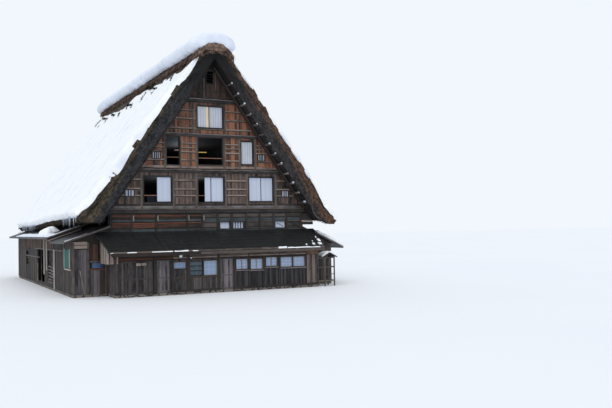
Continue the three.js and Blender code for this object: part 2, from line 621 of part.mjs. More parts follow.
// Wall of the low rooms at the back, with its end walls and windows
function backWall(parent) {
  const outer = BODY_HALF + WALL;
  const y0 = -PORCH_Y;
  const y1 = -PORCH_Y + PORCH_WALL;
  const low = FLOOR_TOP + GAP;
  const wallLow = [[-outer, low], [outer, low], [outer, HEADER_Z], [-outer, HEADER_Z]];
  const header = [[y0, HEADER_Z - 1], [y1, HEADER_Z - 1],
    [y1, porchUnderside(PORCH_DEPTH - PORCH_WALL) - GAP], [y0, porchUnderside(PORCH_DEPTH) - GAP]];
  const parts = [alongY(wallLow, y0, y1), alongX(header, -outer, outer),
    porchEndWall(-outer, -BODY_HALF), porchEndWall(BODY_HALF, outer)];
  piece("back_wall", joined(parts, openings(BACK_WINDOWS, y0, y1)), FINISH.greyBoard, parent);
}

const back = new THREE.Group();
back.rotation.z = Math.PI;
house.add(back);

groundFloor();
frontWall();
panes();
doors();
porchRoof("front_low_roof", house);
endScreen();
gableFrame("front_frame", MEZZANINE_WINDOWS, house);
sideFrame("left_side_frame", -1);
sideFrame("right_side_frame", 1);
aisleRoofs();
aisleWalls();
aisleScreens();
frontGable();
screens("front_screens", house, true);
atticFloors();
for (const [word, side] of [["left", -1], ["right", 1]]) {
  vergeRafter(`front_verge_${word}`, side, house);
  vergeRafter(`back_verge_${word}`, -side, back);
  thatch(`thatch_${word}`, side);
}
ridgeThatch();
slopeSnow("roof_snow_left", -1, SNOW_LEFT);
slopeSnow("roof_snow_right", 1, SNOW_RIGHT);
ridgeSnow();
porchFrame();
gableFrame("back_frame", [], back);
backWall(back);
porchRoof("back_low_roof", back);
backGable(back);
screens("back_screens", back, false);

export default house;
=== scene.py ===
import logging
import math
from collections.abc import Callable, Iterator, Sequence
from contextlib import contextmanager
from dataclasses import dataclass, replace
from enum import Enum

import bmesh
import bpy
import numpy as np
from mathutils import Matrix, Vector


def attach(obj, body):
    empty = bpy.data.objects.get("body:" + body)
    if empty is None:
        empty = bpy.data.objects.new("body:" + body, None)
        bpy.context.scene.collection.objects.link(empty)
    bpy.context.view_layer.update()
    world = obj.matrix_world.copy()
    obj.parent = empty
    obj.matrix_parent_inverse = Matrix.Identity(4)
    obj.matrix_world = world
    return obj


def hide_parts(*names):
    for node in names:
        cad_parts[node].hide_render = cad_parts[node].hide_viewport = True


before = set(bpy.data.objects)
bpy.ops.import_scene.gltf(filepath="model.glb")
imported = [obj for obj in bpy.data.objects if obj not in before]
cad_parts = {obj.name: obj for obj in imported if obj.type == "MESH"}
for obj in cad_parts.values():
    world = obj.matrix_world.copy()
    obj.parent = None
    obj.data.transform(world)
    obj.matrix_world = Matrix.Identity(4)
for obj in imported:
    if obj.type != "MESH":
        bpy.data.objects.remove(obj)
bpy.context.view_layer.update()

log = logging.getLogger("farmhouse")

Object = bpy.types.Object
Material = bpy.types.Material
NodeSocket = bpy.types.NodeSocket
Pair = tuple[float, float]
Triple = tuple[float, float, float]
Rect = tuple[float, float, float, float]

HOUSE = "house"

# The thatch at the right of the ridge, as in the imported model: height over the middle, and fall
INNER_APEX, INNER_SLOPE = 13.85, 1.427
OUTER_APEX, OUTER_SLOPE = 15.3, 1.37
SLOPE_OUT, SLOPE_DOWN = 0.574, 0.819  # direction down the slope
THATCH_RISE = 1.743  # from the thatch's underside straight up to its top
VERGE_Y = 12.59

# Outer faces of the walls, and the low roofs before and behind them: run, fall and eave height
GABLE_Y, PORCH_Y, AISLE_X, BODY_X, END_X = 11.62, 13.42, 8.2, 6.17, 6.27
LOW_RUN, LOW_FALL, LOW_EAVE = 2.25, 1.17, 2.41
LEFT_ROOF_TOP, LEFT_ROOF_FALL = 4.28, 0.341  # rear section of the left aisle's roof
RIGHT_ROOF_FALL = 0.4945

# Feet of the low walls' boards, posts and sills, and the lower edge of the header over the doors
BOARD_FOOT, POST_FOOT, SILL_FOOT, HEADER = 0.16, 0.15, 0.152, 2.0


def inner_roof(x: float) -> float:
    """Height of the thatch's underside at a distance from the middle."""
    return INNER_APEX - INNER_SLOPE * abs(x)


class Noise:
    """Smooth seeded noise on points, the same at each run."""

    def __init__(self, seed: int) -> None:
        """Fills the table that the noise is read from."""
        self.table = np.random.default_rng(seed).uniform(-1, 1, 4096)

    def at(self, points: np.ndarray, size: float | Triple) -> np.ndarray:
        """Reads the noise.

        Args:
            points: rows of three coordinates.
            size: width of one bump, or one width for each axis.

        Returns:
            One value from -1 to 1 for each row.
        """
        scaled = np.asarray(points, float) / np.asarray(size, float)
        base = np.floor(scaled).astype(np.int64)
        part = scaled - base
        part = part * part * (3 - 2 * part)
        total = np.zeros(len(scaled))
        for corner in range(8):
            step = np.array([corner & 1, corner >> 1 & 1, corner >> 2 & 1])
            cell = base + step
            key = (cell[:, 0] * 73856093 ^ cell[:, 1] * 19349663 ^ cell[:, 2] * 83492791) & 4095
            weight = np.prod(np.where(step, part, 1 - part), axis=1)
            total += weight * self.table[key]
        return total

    def rough(self, points: np.ndarray, size: float | Triple, octaves: int = 3) -> np.ndarray:
        """The same noise with finer bumps added, each layer half as wide and half as strong."""
        size = np.asarray(size, float)
        return sum(self.at(points + 17.3 * i, size / 2**i) / 2**i for i in range(octaves))


class Bench:
    """Hand-modelling steps, each on a clean selection."""

    @staticmethod
    def take(*objects: Object) -> None:
        """Selects these objects alone and makes the first one active.

        Args:
            objects: one object or more.
        """
        bpy.ops.object.select_all(action="DESELECT")
        for obj in objects:
            obj.select_set(True)
        bpy.context.view_layer.objects.active = objects[0]

    @staticmethod
    @contextmanager
    def editing(obj: Object) -> Iterator[bmesh.types.BMesh]:
        """Edit mode on one object with nothing selected, in edge mode.

        Args:
            obj: the object to edit.

        Yields:
            The mesh while it is edited.
        """
        Bench.take(obj)
        bpy.ops.object.mode_set(mode="EDIT")
        bpy.ops.mesh.select_mode(type="EDGE")
        bpy.ops.mesh.select_all(action="DESELECT")
        yield bmesh.from_edit_mesh(obj.data)
        bpy.ops.object.mode_set(mode="OBJECT")

    @staticmethod
    def pick_edges(obj: Object, test: Callable[[Vector, Vector], bool]) -> None:
        """Selects in edit mode the edges whose two ends pass a test.

        Args:
            obj: the object in edit mode.
            test: takes an edge's two ends and says whether it is picked.
        """
        shape = bmesh.from_edit_mesh(obj.data)
        for edge in shape.edges:
            edge.select_set(test(edge.verts[0].co, edge.verts[1].co))
        bmesh.update_edit_mesh(obj.data)

    @staticmethod
    def primitive(kind: str, **settings: object) -> Object:
        """Adds one of the basic shapes, with its place put into its mesh.

        Args:
            kind: the shape's name in its operator.
            settings: the operator's settings.

        Returns:
            The new object.
        """
        bpy.ops.object.select_all(action="DESELECT")
        getattr(bpy.ops.mesh, f"primitive_{kind}_add")(**settings)
        made = bpy.context.object
        bpy.ops.object.transform_apply(location=True)
        return made

    @staticmethod
    def cut_rings(obj: Object, count: int) -> None:
        """Cuts rings round a shape that stands one unit high.

        Args:
            obj: the shape.
            count: how many rings.
        """
        with Bench.editing(obj):
            Bench.pick_edges(obj, lambda a, b: abs(a.z - b.z) > 0.5)
            bpy.ops.mesh.subdivide(number_cuts=count)

    @staticmethod
    def coords(obj: Object) -> np.ndarray:
        """The object's vertices as rows of x, y and z.

        Args:
            obj: the object.

        Returns:
            One row for each vertex.
        """
        flat = np.zeros(len(obj.data.vertices) * 3)
        obj.data.vertices.foreach_get("co", flat)
        return flat.reshape(-1, 3)

    @staticmethod
    def normals(obj: Object) -> np.ndarray:
        """The vertices' normals as rows.

        Args:
            obj: the object.

        Returns:
            One row for each vertex.
        """
        flat = np.zeros(len(obj.data.vertices) * 3, np.float32)
        obj.data.vertex_normals.foreach_get("vector", flat)
        return flat.reshape(-1, 3).astype(float)

    @staticmethod
    def shape(obj: Object, coords: np.ndarray) -> None:
        """Moves the vertices to these rows."""
        obj.data.vertices.foreach_set("co", np.ascontiguousarray(coords, float).ravel())
        obj.data.update()

    @staticmethod
    def join(parts: Sequence[Object], name: str) -> Object:
        """Joins objects into one with a name of its own.

        Args:
            parts: one object or more.
            name: the joined object's name.

        Returns:
            The joined object.
        """
        Bench.take(*parts)
        if len(parts) > 1:
            bpy.ops.object.join()
        joined = bpy.context.view_layer.objects.active
        joined.name = joined.data.name = name
        return joined

    @staticmethod
    def copies(pattern: Object, count: int, name: str) -> Object:
        """One mesh with this many copies of a shape, one after another.

        Args:
            pattern: the shape.
            count: how many copies.
            name: the new object's name.

        Returns:
            The new object, with all copies at the shape's own place.
        """
        obj = bpy.data.objects.new(name, pattern.data.copy())
        obj.data.name = name
        bpy.context.scene.collection.objects.link(obj)
        if count > 1:
            Bench.apply(obj, "ARRAY", count=count, use_relative_offset=False,
                        use_constant_offset=True, constant_offset_displace=(0, 0, 0))
        return obj

    @staticmethod
    def apply(obj: Object, kind: str, **settings: object) -> None:
        """Adds a modifier with these settings and applies it.

        Args:
            obj: the object.
            kind: the modifier's type.
            settings: its settings.
        """
        Bench.take(obj)
        modifier = obj.modifiers.new("step", kind)
        for key, value in settings.items():
            setattr(modifier, key, value)
        bpy.ops.object.modifier_apply(modifier="step")

    @staticmethod
    def smooth(obj: Object, angle: float = 40) -> Object:
        """Shades an object smooth, with edges sharper than an angle in degrees left sharp.

        Args:
            obj: the object.
            angle: the angle.

        Returns:
            The object.
        """
        Bench.take(obj)
        bpy.ops.object.shade_smooth_by_angle(angle=math.radians(angle))
        return obj

    @staticmethod
    def outwards(obj: Object) -> None:
        """Merges doubles and turns all faces outwards.

        Args:
            obj: the object.
        """
        with Bench.editing(obj):
            bpy.ops.mesh.select_all(action="SELECT")
            bpy.ops.mesh.remove_doubles(threshold=1e-4)
            bpy.ops.mesh.normals_make_consistent(inside=False)

    @staticmethod
    def copy_of_node(node: str, name: str) -> Object:
        """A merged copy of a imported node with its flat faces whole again.

        Args:
            node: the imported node.
            name: the copy's name.

        Returns:
            The copy.
        """
        obj = bpy.data.objects.new(name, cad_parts[node].data.copy())
        bpy.context.scene.collection.objects.link(obj)
        obj.data.materials.clear()
        Bench.take(obj)
        bpy.ops.mesh.customdata_custom_splitnormals_clear()
        with Bench.editing(obj):
            bpy.ops.mesh.select_all(action="SELECT")
            bpy.ops.mesh.remove_doubles(threshold=1e-4)
            bpy.ops.mesh.dissolve_limited(angle_limit=0.01)
        return obj

    @staticmethod
    def slice(obj: Object, planes: Sequence[tuple[Triple, Triple]]) -> None:
        """Cuts an object's faces along planes, each a point and a normal.

        Args:
            obj: the object.
            planes: the planes.
        """
        with Bench.editing(obj):
            for point, normal in planes:
                bpy.ops.mesh.select_all(action="SELECT")
                bpy.ops.mesh.bisect(plane_co=point, plane_no=normal)

    @staticmethod
    def mark(obj: Object, values: np.ndarray | float, name: str = "tint") -> None:
        """Writes a value for each vertex into an attribute that the finishes read.

        Args:
            obj: the object.
            values: a value for each vertex, or one for all.
            name: the attribute's name.
        """
        count = len(obj.data.vertices)
        attribute = obj.data.attributes.get(name) or obj.data.attributes.new(name, "FLOAT", "POINT")
        attribute.data.foreach_set("value", np.broadcast_to(values, count).astype(np.float32))


@dataclass(frozen=True)
class Face:
    """A flat face to build on: its own right, up and outward directions at a point."""

    origin: Triple
    along: Triple
    out: Triple
    up: Triple = (0, 0, 1)

    def world(self, local: np.ndarray) -> np.ndarray:
        """Turns rows of along, up and out into the house's own x, y and z."""
        basis = np.array([self.along, self.up, self.out], float)
        return np.asarray(local, float) @ basis + np.array(self.origin, float)

    def shifted(self, out: float) -> "Face":
        """The same face moved outwards."""
        moved = np.array(self.origin, float) + np.array(self.out, float) * out
        return replace(self, origin=tuple(moved))


FRONT = Face((0, -GABLE_Y, 0), (1, 0, 0), (0, -1, 0))
BACK = Face((0, GABLE_Y, 0), (-1, 0, 0), (0, 1, 0))
PORCH = Face((0, -PORCH_Y, 0), (1, 0, 0), (0, -1, 0))
BACK_PORCH = Face((0, PORCH_Y, 0), (-1, 0, 0), (0, 1, 0))
LEFT = Face((-AISLE_X, 0, 0), (0, -1, 0), (-1, 0, 0))
RIGHT = Face((AISLE_X, 0, 0), (0, 1, 0), (1, 0, 0))


@dataclass(frozen=True)
class Plank:
    """One sawn piece laid on a face, from the middle of its start to the middle of its end."""

    start: Pair
    end: Pair
    width: float
    thick: float
    out: float = 0.0
    cut: Pair = (0.0, 0.0)  # length added at the far end, on its right and left edge
    lean: float = 0.0  # how much further out its left edge lies
    tint: float | None = None


class Carpenter:
    """Lays copies of one modelled plank, each cut to its own size."""

    EDGE = 0.06  # how far the pattern's edges are eased
    EASED = 0.006  # the most that a plank's edges are eased
    BOWED, CUPPED = 0.0025, 0.002
    SHIFTED = 0.16  # how far a joint may lie off, as a share of a board
    STANDING = 0.004  # the most that one board stands out over the next
    SHORTEST = 0.03
    SHADES = 0.45  # below 1, dark and light boards are commoner than middling ones

    def __init__(self, seed: int) -> None:
        """Models the plank that all others are cut from.

        Args:
            seed: start of all random draws.
        """
        self.rng = np.random.default_rng(seed)
        self.pattern = self._model()
        self.shape = Bench.coords(self.pattern)
        corners = np.zeros(len(self.pattern.data.loops), np.int32)
        self.pattern.data.loops.foreach_get("vertex_index", corners)
        self.corners = corners
        self._clear()

    def _clear(self) -> None:
        """Forgets the planks laid so far."""
        self.places: list[np.ndarray] = []
        self.maps: list[np.ndarray] = []
        self.tints: list[float] = []

    def _model(self) -> Object:
        """A plank one unit long, wide and thick, with its two front edges eased.

        Returns:
            The plank.
        """
        plank = Bench.primitive("cube", size=1, location=(0.5, 0, 0.5))
        with Bench.editing(plank):
            Bench.pick_edges(plank, lambda a, b: abs(a.x - b.x) > 0.5)
            bpy.ops.mesh.subdivide(number_cuts=2)
            Bench.pick_edges(plank, lambda a, b: (min(a.z, b.z) > 0.9 and abs(a.y - b.y) < 0.1
                                                  and abs(a.x - b.x) > 0.1))
            bpy.ops.mesh.bevel(offset=self.EDGE, segments=1, affect="EDGES")
        return plank

    def lay(self, face: Face, plank: Plank, rough: float = 1.0) -> None:
        """Cuts one plank and puts it on a face.

        Args:
            face: the face that it lies on.
            plank: its size and place.
            rough: how crooked it is, 1 for a split board.
        """
        start, end = np.array(plank.start), np.array(plank.end)
        length = float(np.hypot(*(end - start)))
        u, v, w = self.shape.T
        ease = min(self.EASED, plank.thick * 0.3, plank.width * 0.1)
        across = np.sign(v) * (plank.width / 2 - (0.5 - np.abs(v)) / self.EDGE * ease)
        depth = np.where(w > 0.5, plank.thick - (1 - w) / self.EDGE * ease, 0)
        extra = plank.cut[0] * (0.5 - v) + plank.cut[1] * (0.5 + v)
        along = u * (length + extra)
        wave = self.rng.normal(0, 1, 4) * rough
        across = across + wave[0] * self.BOWED * np.sin(3.1 * u + wave[1])
        cup = wave[2] * self.CUPPED * np.sin(2.6 * u + wave[3])
        depth = depth + (w > 0.5) * cup + plank.lean * (0.5 + v)
        d = (end - start) / length
        local = np.column_stack((start[0] + d[0] * along - d[1] * across,
                                 start[1] + d[1] * along + d[0] * across, plank.out + depth))
        self.places.append(face.world(local))
        slide = self.rng.uniform(0, 9, 2)
        self.maps.append(np.column_stack((along + slide[0], across + depth + slide[1]))[self.corners])
        self.tints.append(self.rng.uniform(0, 1) if plank.tint is None else plank.tint)

    def bar(self, face: Face, a: Pair, c: Pair, out: Pair, tint: float | None = None) -> None:
        """Lays a plank that fills a rectangle on a face, along its longer side.

        Args:
            face: the face that it lies on.
            a: its left and right ends.
            c: its lowest and highest points.
            out: how far out its back and its front lie.
            tint: its shade, or None for any.
        """
        wide, tall = a[1] - a[0], c[1] - c[0]
        thick = out[1] - out[0]
        if wide > tall:
            middle = (c[0] + c[1]) / 2
            self.lay(face, Plank((a[0], middle), (a[1], middle), tall, thick, out[0], tint=tint), 0.6)
        else:
            middle = (a[0] + a[1]) / 2
            self.lay(face, Plank((middle, c[0]), (middle, c[1]), wide, thick, out[0], tint=tint), 0.6)

    def post(self, face: Face, x: float, width: float, c: Pair, out: Pair, tint: float | None = None) -> None:
        """Lays an upright bar on both sides of a middle line, as bar does."""
        self.bar(face, (x - width / 2, x + width / 2), c, out, tint)

    def casing(self, face: Face, rect: Rect, wide: float, out: Pair, tint: float | None = None) -> None:
        """Lays a frame of four bars round an opening, as bar does.

        Args:
            face: the face that they lie on.
            rect: the opening's left, right, low and high edges.
            wide: width of the bars.
            out: how far out their backs and fronts lie.
            tint: their shade, or None for any.
        """
        x0, x1, z0, z1 = rect
        for z in (z0 - wide, z1):
            self.bar(face, (x0 - wide, x1 + wide), (z, z + wide), out, tint)
        for x in (x0 - wide, x1):
            self.bar(face, (x, x + wide), (z0, z1), out, tint)

    def pane(self, face: Face, rect: Rect, thick: float, out: float) -> None:
        """Lays one flat sheet of paper or glass that fills an opening.

        Args:
            face: the face that it lies on.
            rect: the opening's left, right, low and high edges.
            thick: its thickness.
            out: how far out its back lies.
        """
        x0, x1, z0, z1 = rect
        middle = (x0 + x1) / 2
        self.lay(face, Plank((middle, z0), (middle, z1), x1 - x0, thick, out), 0)

    def boards(self, face: Face, a: Pair, c: Pair, holes: Sequence[Rect] = (), *, width: float = 0.2,
               thick: float = 0.018, out: float = 0.0, gap: float = 0.01,
               roof: Callable[[float], float] | None = None, tint: Pair = (0, 1)) -> None:
        """Covers part of a face with upright boards.

        Args:
            face: the face to cover.
            a: left and right edge of the covered part.
            c: its lowest and highest points.
            holes: openings to leave free, each left, right, low and high.
            width: a board's usual width.
            thick: a board's thickness.
            out: how far out the boards' backs lie.
            gap: the open joint between two boards.
            roof: highest point allowed at a place along the face.
            tint: range of the boards' shades.
        """
        edges = {a[0], a[1]}
        for hole in holes:
            edges |= {x for x in hole[:2] if a[0] < x < a[1]}
        stops = sorted(edges)
        for left, right in zip(stops, stops[1:]):
            count = max(1, round((right - left) / width))
            joints = np.linspace(left, right, count + 1)
            if count > 1:
                shifts = self.rng.uniform(-self.SHIFTED, self.SHIFTED, count - 1)
                joints[1:-1] += shifts * (right - left) / count
            for x0, x1 in zip(joints, joints[1:]):
                self._column(face, (x0 + gap / 2, x1 - gap / 2), c, holes, thick, out, roof, tint)

    def _column(self, face: Face, a: Pair, c: Pair, holes: Sequence[Rect], thick: float, out: float,
                roof: Callable[[float], float] | None, tint: Pair) -> None:
        """Lays the boards of one column, over, under and between its openings.

        Args:
            face: the face to cover.
            a: left and right edge of the column.
            c: its lowest and highest points.
            holes: openings to leave free.
            thick: a board's thickness.
            out: how far out the boards' backs lie.
            roof: highest point allowed at a place along the face.
            tint: range of the boards' shades.
        """
        middle = (a[0] + a[1]) / 2
        top_left = min(c[1], roof(a[0])) if roof else c[1]
        top_right = min(c[1], roof(a[1])) if roof else c[1]
        top = min(top_left, top_right)
        low = c[0]
        breaks = sorted((h[2], h[3]) for h in holes if h[0] < middle < h[1] and h[3] > c[0])
        for floor, ceiling in [*breaks, (top, None)]:
            ends_at_top = ceiling is None or floor >= top
            high = top if ends_at_top else floor
            if high - low > self.SHORTEST:
                cut = (top_right - top, top_left - top) if ends_at_top else (0.0, 0.0)
                tone = tint[0] + (tint[1] - tint[0]) * self.rng.beta(self.SHADES, self.SHADES)
                stand = out + self.rng.uniform(0, self.STANDING)
                self.lay(face, Plank((middle, low), (middle, high), a[1] - a[0], thick, stand, cut,
                                     tint=tone))
            if ends_at_top:
                break
            low = ceiling

    def finish(self, name: str, material: Material, slot: str, body: str = HOUSE) -> Object:
        """Makes one piece of the house from the planks laid since the last one.

        Args:
            name: the piece's name.
            material: its finish.
            slot: not used.
            body: the body that it moves with.

        Returns:
            The piece.
        """
        piece = Bench.copies(self.pattern, len(self.places), name)
        Bench.shape(piece, np.vstack(self.places))
        piece.data.uv_layers[0].data.foreach_set("uv", np.vstack(self.maps).ravel())
        Bench.mark(piece, np.repeat(self.tints, len(self.shape)))
        self._clear()
        return hand_over(piece, material, body)

    def close(self) -> None:
        """Clears the pattern away when the last piece is made."""
        bpy.data.objects.remove(self.pattern)


def hand_over(piece: Object, material: Material, body: str = HOUSE) -> Object:
    """Gives a finished piece its material and the body that it rides on.

    Args:
        piece: the finished mesh.
        material: its finish.
        body: the body that it moves with.

    Returns:
        The piece.
    """
    piece.data.materials.clear()
    piece.data.materials.append(material)
    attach(piece, body)
    log.info("%s: %d faces", piece.name, len(piece.data.polygons))
    return piece


class Socket(Enum):
    """Kinds of value that pass in and out of a node group."""

    COLOR = "NodeSocketColor"
    VALUE = "NodeSocketFloat"
    VECTOR = "NodeSocketVector"


class Tree:
    """A shader node tree with short ways to add and link nodes."""

    def __init__(self, nodes: bpy.types.NodeTree) -> None:
        """Keeps the tree that nodes are added to."""
        self.tree = nodes
        self.count = 0

    def add(self, kind: str, **settings: object) -> bpy.types.Node:
        """Adds a node with these properties, to the right of the last one.

        Args:
            kind: the node's type.
            settings: its properties.

        Returns:
            The node.
        """
        node = self.tree.nodes.new(kind)
        node.location = (180 * (self.count % 12), -260 * (self.count // 12))
        self.count += 1
        for key, value in settings.items():
            setattr(node, key, value)
        return node

    def feed(self, source: object, target: NodeSocket) -> None:
        """Links a socket to an input, or sets the input to a plain value.

        Args:
            source: a socket, or a plain value.
            target: the input.
        """
        if isinstance(source, NodeSocket):
            self.tree.links.new(source, target)
        else:
            target.default_value = source

    def math(self, operation: str, a: object, b: object = 0.0, c: object = 0.0,
             clamp: bool = False) -> NodeSocket:
        """Adds a Math node and returns its result.

        Args:
            operation: what the node does.
            a: first value or socket.
            b: second value or socket.
            c: third value or socket.
            clamp: whether the result is kept from 0 to 1.

        Returns:
            The result's socket.
        """
        node = self.add("ShaderNodeMath", operation=operation, use_clamp=clamp)
        for value, target in zip((a, b, c), node.inputs):
            self.feed(value, target)
        return node.outputs[0]

    def plus(self, a: object, b: object, clamp: bool = False) -> NodeSocket:
        """The sum, kept from 0 to 1 where it is clamped."""
        return self.math("ADD", a, b, clamp=clamp)

    def minus(self, a: object, b: object) -> NodeSocket:
        """The difference."""
        return self.math("SUBTRACT", a, b)

    def times(self, a: object, b: object) -> NodeSocket:
        """The product."""
        return self.math("MULTIPLY", a, b)

    def scaled(self, a: object, b: object, c: object) -> NodeSocket:
        """The product of the first two, plus the third."""
        return self.math("MULTIPLY_ADD", a, b, c)

    def blend(self, a: object, b: object, share: object, kind: str = "MIX") -> NodeSocket:
        """Mixes two colours and returns the mixture.

        Args:
            a: first colour.
            b: second colour.
            share: how much of the second one.
            kind: how they are mixed.

        Returns:
            The mixture's socket.
        """
        node = self.add("ShaderNodeMix", data_type="RGBA", blend_type=kind)
        self.feed(share, node.inputs[0])
        self.feed(a, node.inputs[6])
        self.feed(b, node.inputs[7])
        return node.outputs[2]

    def noise(self, vector: object, scale: object, detail: float = 3.0,
              rough: float = 0.55) -> NodeSocket:
        """Adds a noise texture and returns its value from 0 to 1.

        Args:
            vector: where it is read.
            scale: how fine it is.
            detail: its finer layers.
            rough: how strong they are.

        Returns:
            The result's socket.
        """
        node = self.add("ShaderNodeTexNoise")
        self.feed(vector, node.inputs["Vector"])
        self.feed(scale, node.inputs["Scale"])
        node.inputs["Detail"].default_value = detail
        node.inputs["Roughness"].default_value = rough
        return node.outputs[0]

    def stretch(self, vector: object, scale: Triple) -> NodeSocket:
        """Scales a pattern by its own amount along each axis.

        Args:
            vector: the place.
            scale: the amount along each axis.

        Returns:
            The result's socket.
        """
        node = self.add("ShaderNodeMapping")
        self.feed(vector, node.inputs["Vector"])
        node.inputs["Scale"].default_value = scale
        return node.outputs[0]

    def ramp(self, value: object, low: float, high: float) -> NodeSocket:
        """Spreads a value's range low to high over 0 to 1, with soft ends.

        Args:
            value: the value.
            low: what gives 0.
            high: what gives 1.

        Returns:
            The result's socket.
        """
        node = self.add("ShaderNodeMapRange", interpolation_type="SMOOTHSTEP")
        self.feed(value, node.inputs["Value"])
        node.inputs["From Min"].default_value = low
        node.inputs["From Max"].default_value = high
        return node.outputs[0]

    def split(self, vector: object) -> bpy.types.NodeOutputs:
        """Parts a vector into x, y and z.

        Args:
            vector: the vector.

        Returns:
            Its three sockets.
        """
        node = self.add("ShaderNodeSeparateXYZ")
        self.feed(vector, node.inputs[0])
        return node.outputs

    def gather(self, x: object, y: object, z: object) -> NodeSocket:
        """Puts x, y and z together into a vector.

        Args:
            x: first part.
            y: second part.
            z: third part.

        Returns:
            The vector's socket.
        """
        node = self.add("ShaderNodeCombineXYZ")
        for value, target in zip((x, y, z), node.inputs):
            self.feed(value, target)
        return node.outputs[0]


class Effect:
    """A node group that several materials share, with named inputs and outputs."""

    def __init__(self, name: str, takes: dict[str, tuple[Socket, object]],
                 gives: dict[str, Socket]) -> None:
        """Makes an empty group with its sockets.

        Args:
            name: the group's name.
            takes: each input's kind and usual value.
            gives: each output's kind.
        """
        self.group = bpy.data.node_groups.new(name, "ShaderNodeTree")
        for key, (kind, value) in takes.items():
            socket = self.group.interface.new_socket(key, in_out="INPUT", socket_type=kind.value)
            if value is not None:
                socket.default_value = value
        for key, kind in gives.items():
            self.group.interface.new_socket(key, in_out="OUTPUT", socket_type=kind.value)
        self.tree = Tree(self.group)
        self.inputs = self.tree.add("NodeGroupInput").outputs
        self.outputs = self.tree.add("NodeGroupOutput").inputs

    def give(self, name: str, value: NodeSocket) -> None:
        """Sends a value out of the group."""
        self.tree.feed(value, self.outputs[name])


def down_slope(t: Tree, side: object, z: object) -> NodeSocket:
    """How far down the slope a point lies, from its distance to the middle and its height."""
    return t.minus(t.times(side, SLOPE_OUT), t.times(z, SLOPE_DOWN))


def grain_effect() -> Effect:
    """Sawn wood: lines along the grain, shades from board to board and a grey bleach.

    Returns:
        The shared group.
    """
    effect = Effect("weathered grain", {
        "Vector": (Socket.VECTOR, None), "Tint": (Socket.VALUE, 0.5), "Dark": (Socket.COLOR, None),
        "Light": (Socket.COLOR, None), "Bleach": (Socket.COLOR, None), "Bleached": (Socket.VALUE, 0.3),
    }, {"Color": Socket.COLOR, "Roughness": Socket.VALUE, "Height": Socket.VALUE})
    t, take = effect.tree, effect.inputs
    lines = t.noise(t.stretch(take["Vector"], (1.3, 36, 36)), 1.0, 5, 0.65)
    broad = t.noise(t.stretch(take["Vector"], (0.7, 5, 5)), 1.0, 3)
    blotch = t.noise(t.stretch(take["Vector"], (1.6, 2.4, 2.4)), 1.0, 2)
    tone = t.scaled(take["Tint"], 0.95, t.times(lines, 0.9))
    tone = t.plus(tone, t.scaled(broad, 1.1, -1.06), clamp=True)
    wood = t.blend(take["Dark"], take["Light"], tone)
    worn = t.times(t.ramp(t.scaled(lines, 0.5, blotch), 0.52, 0.95), take["Bleached"])
    cracks = t.ramp(lines, 0.34, 0.24)
    wood = t.blend(wood, take["Bleach"], worn)
    effect.give("Color", t.blend(wood, (0.012, 0.01, 0.009, 1), t.times(cracks, 0.75)))
    effect.give("Roughness", t.scaled(broad, 0.25, 0.68))
    effect.give("Height", t.minus(lines, t.times(cracks, 0.5)))
    return effect


def reed_effect() -> Effect:
    """Packed reed: dark inside, brown outside, with streaks down the slope and moss, and painted shade on the
    inner reed high under the ridge.

    Returns:
        The shared group.
    """
    effect = Effect("packed reed", {
        "Vector": (Socket.VECTOR, None), "Inner": (Socket.COLOR, None), "Outer": (Socket.COLOR, None),
        "Moss": (Socket.COLOR, None), "Mossy": (Socket.VALUE, 0.3), "Turn": (Socket.VALUE, 0.6),
    }, {"Color": Socket.COLOR, "Roughness": Socket.VALUE, "Height": Socket.VALUE})
    t, take = effect.tree, effect.inputs
    x, y, z = t.split(take["Vector"])[:3]
    side = t.math("ABSOLUTE", x)
    through = t.scaled(z, SLOPE_OUT, t.times(side, SLOPE_DOWN))
    laid = t.gather(down_slope(t, side, z), y, through)
    streaks = t.noise(t.stretch(laid, (5, 26, 30)), 1.0, 5, 0.7)
    clumps = t.noise(t.stretch(laid, (2.2, 4.5, 6)), 1.0, 3)
    patches = t.noise(t.stretch(laid, (0.45, 0.8, 1.2)), 1.0, 3)
    depth = t.plus(t.scaled(side, INNER_SLOPE, -INNER_APEX), z)
    depth = t.math("DIVIDE", depth, THATCH_RISE)
    turn = t.plus(t.times(t.minus(clumps, 0.5), 0.5), depth)
    lower = t.times(t.ramp(z, 8.5, 4.5), -0.3)
    rim = t.ramp(t.minus(turn, t.plus(take["Turn"], lower)), -0.1, 0.12)
    reed = t.blend(take["Inner"], take["Outer"], rim)
    moss = t.times(t.ramp(t.scaled(clumps, 0.6, patches), 0.72, 1.0), take["Mossy"])
    reed = t.blend(reed, take["Moss"], t.times(moss, rim))
    specks = t.noise(t.stretch(laid, (6, 7, 9)), 1.0, 2, 0.5)
    light = t.plus(streaks, t.scaled(clumps, 2.0, t.times(specks, 2.2)))
    light = t.scaled(light, 1.6, -3.15)
    light = t.math("MAXIMUM", light, 0.1)
    # Painted shade: inner reed is darkened from 10.8 m up to the apex, where the ridge and verges shade it.
    deep = t.times(t.ramp(z, 10.8, 12.9), t.minus(1.0, rim))
    light = t.times(light, t.scaled(deep, -0.78, 1.0))
    shaded = t.gather(light, light, light)
    effect.give("Color", t.blend(reed, shaded, 1.0, "MULTIPLY"))
    effect.give("Roughness", t.scaled(streaks, 0.15, 0.85))
    effect.give("Height", t.scaled(clumps, 0.6, streaks))
    return effect


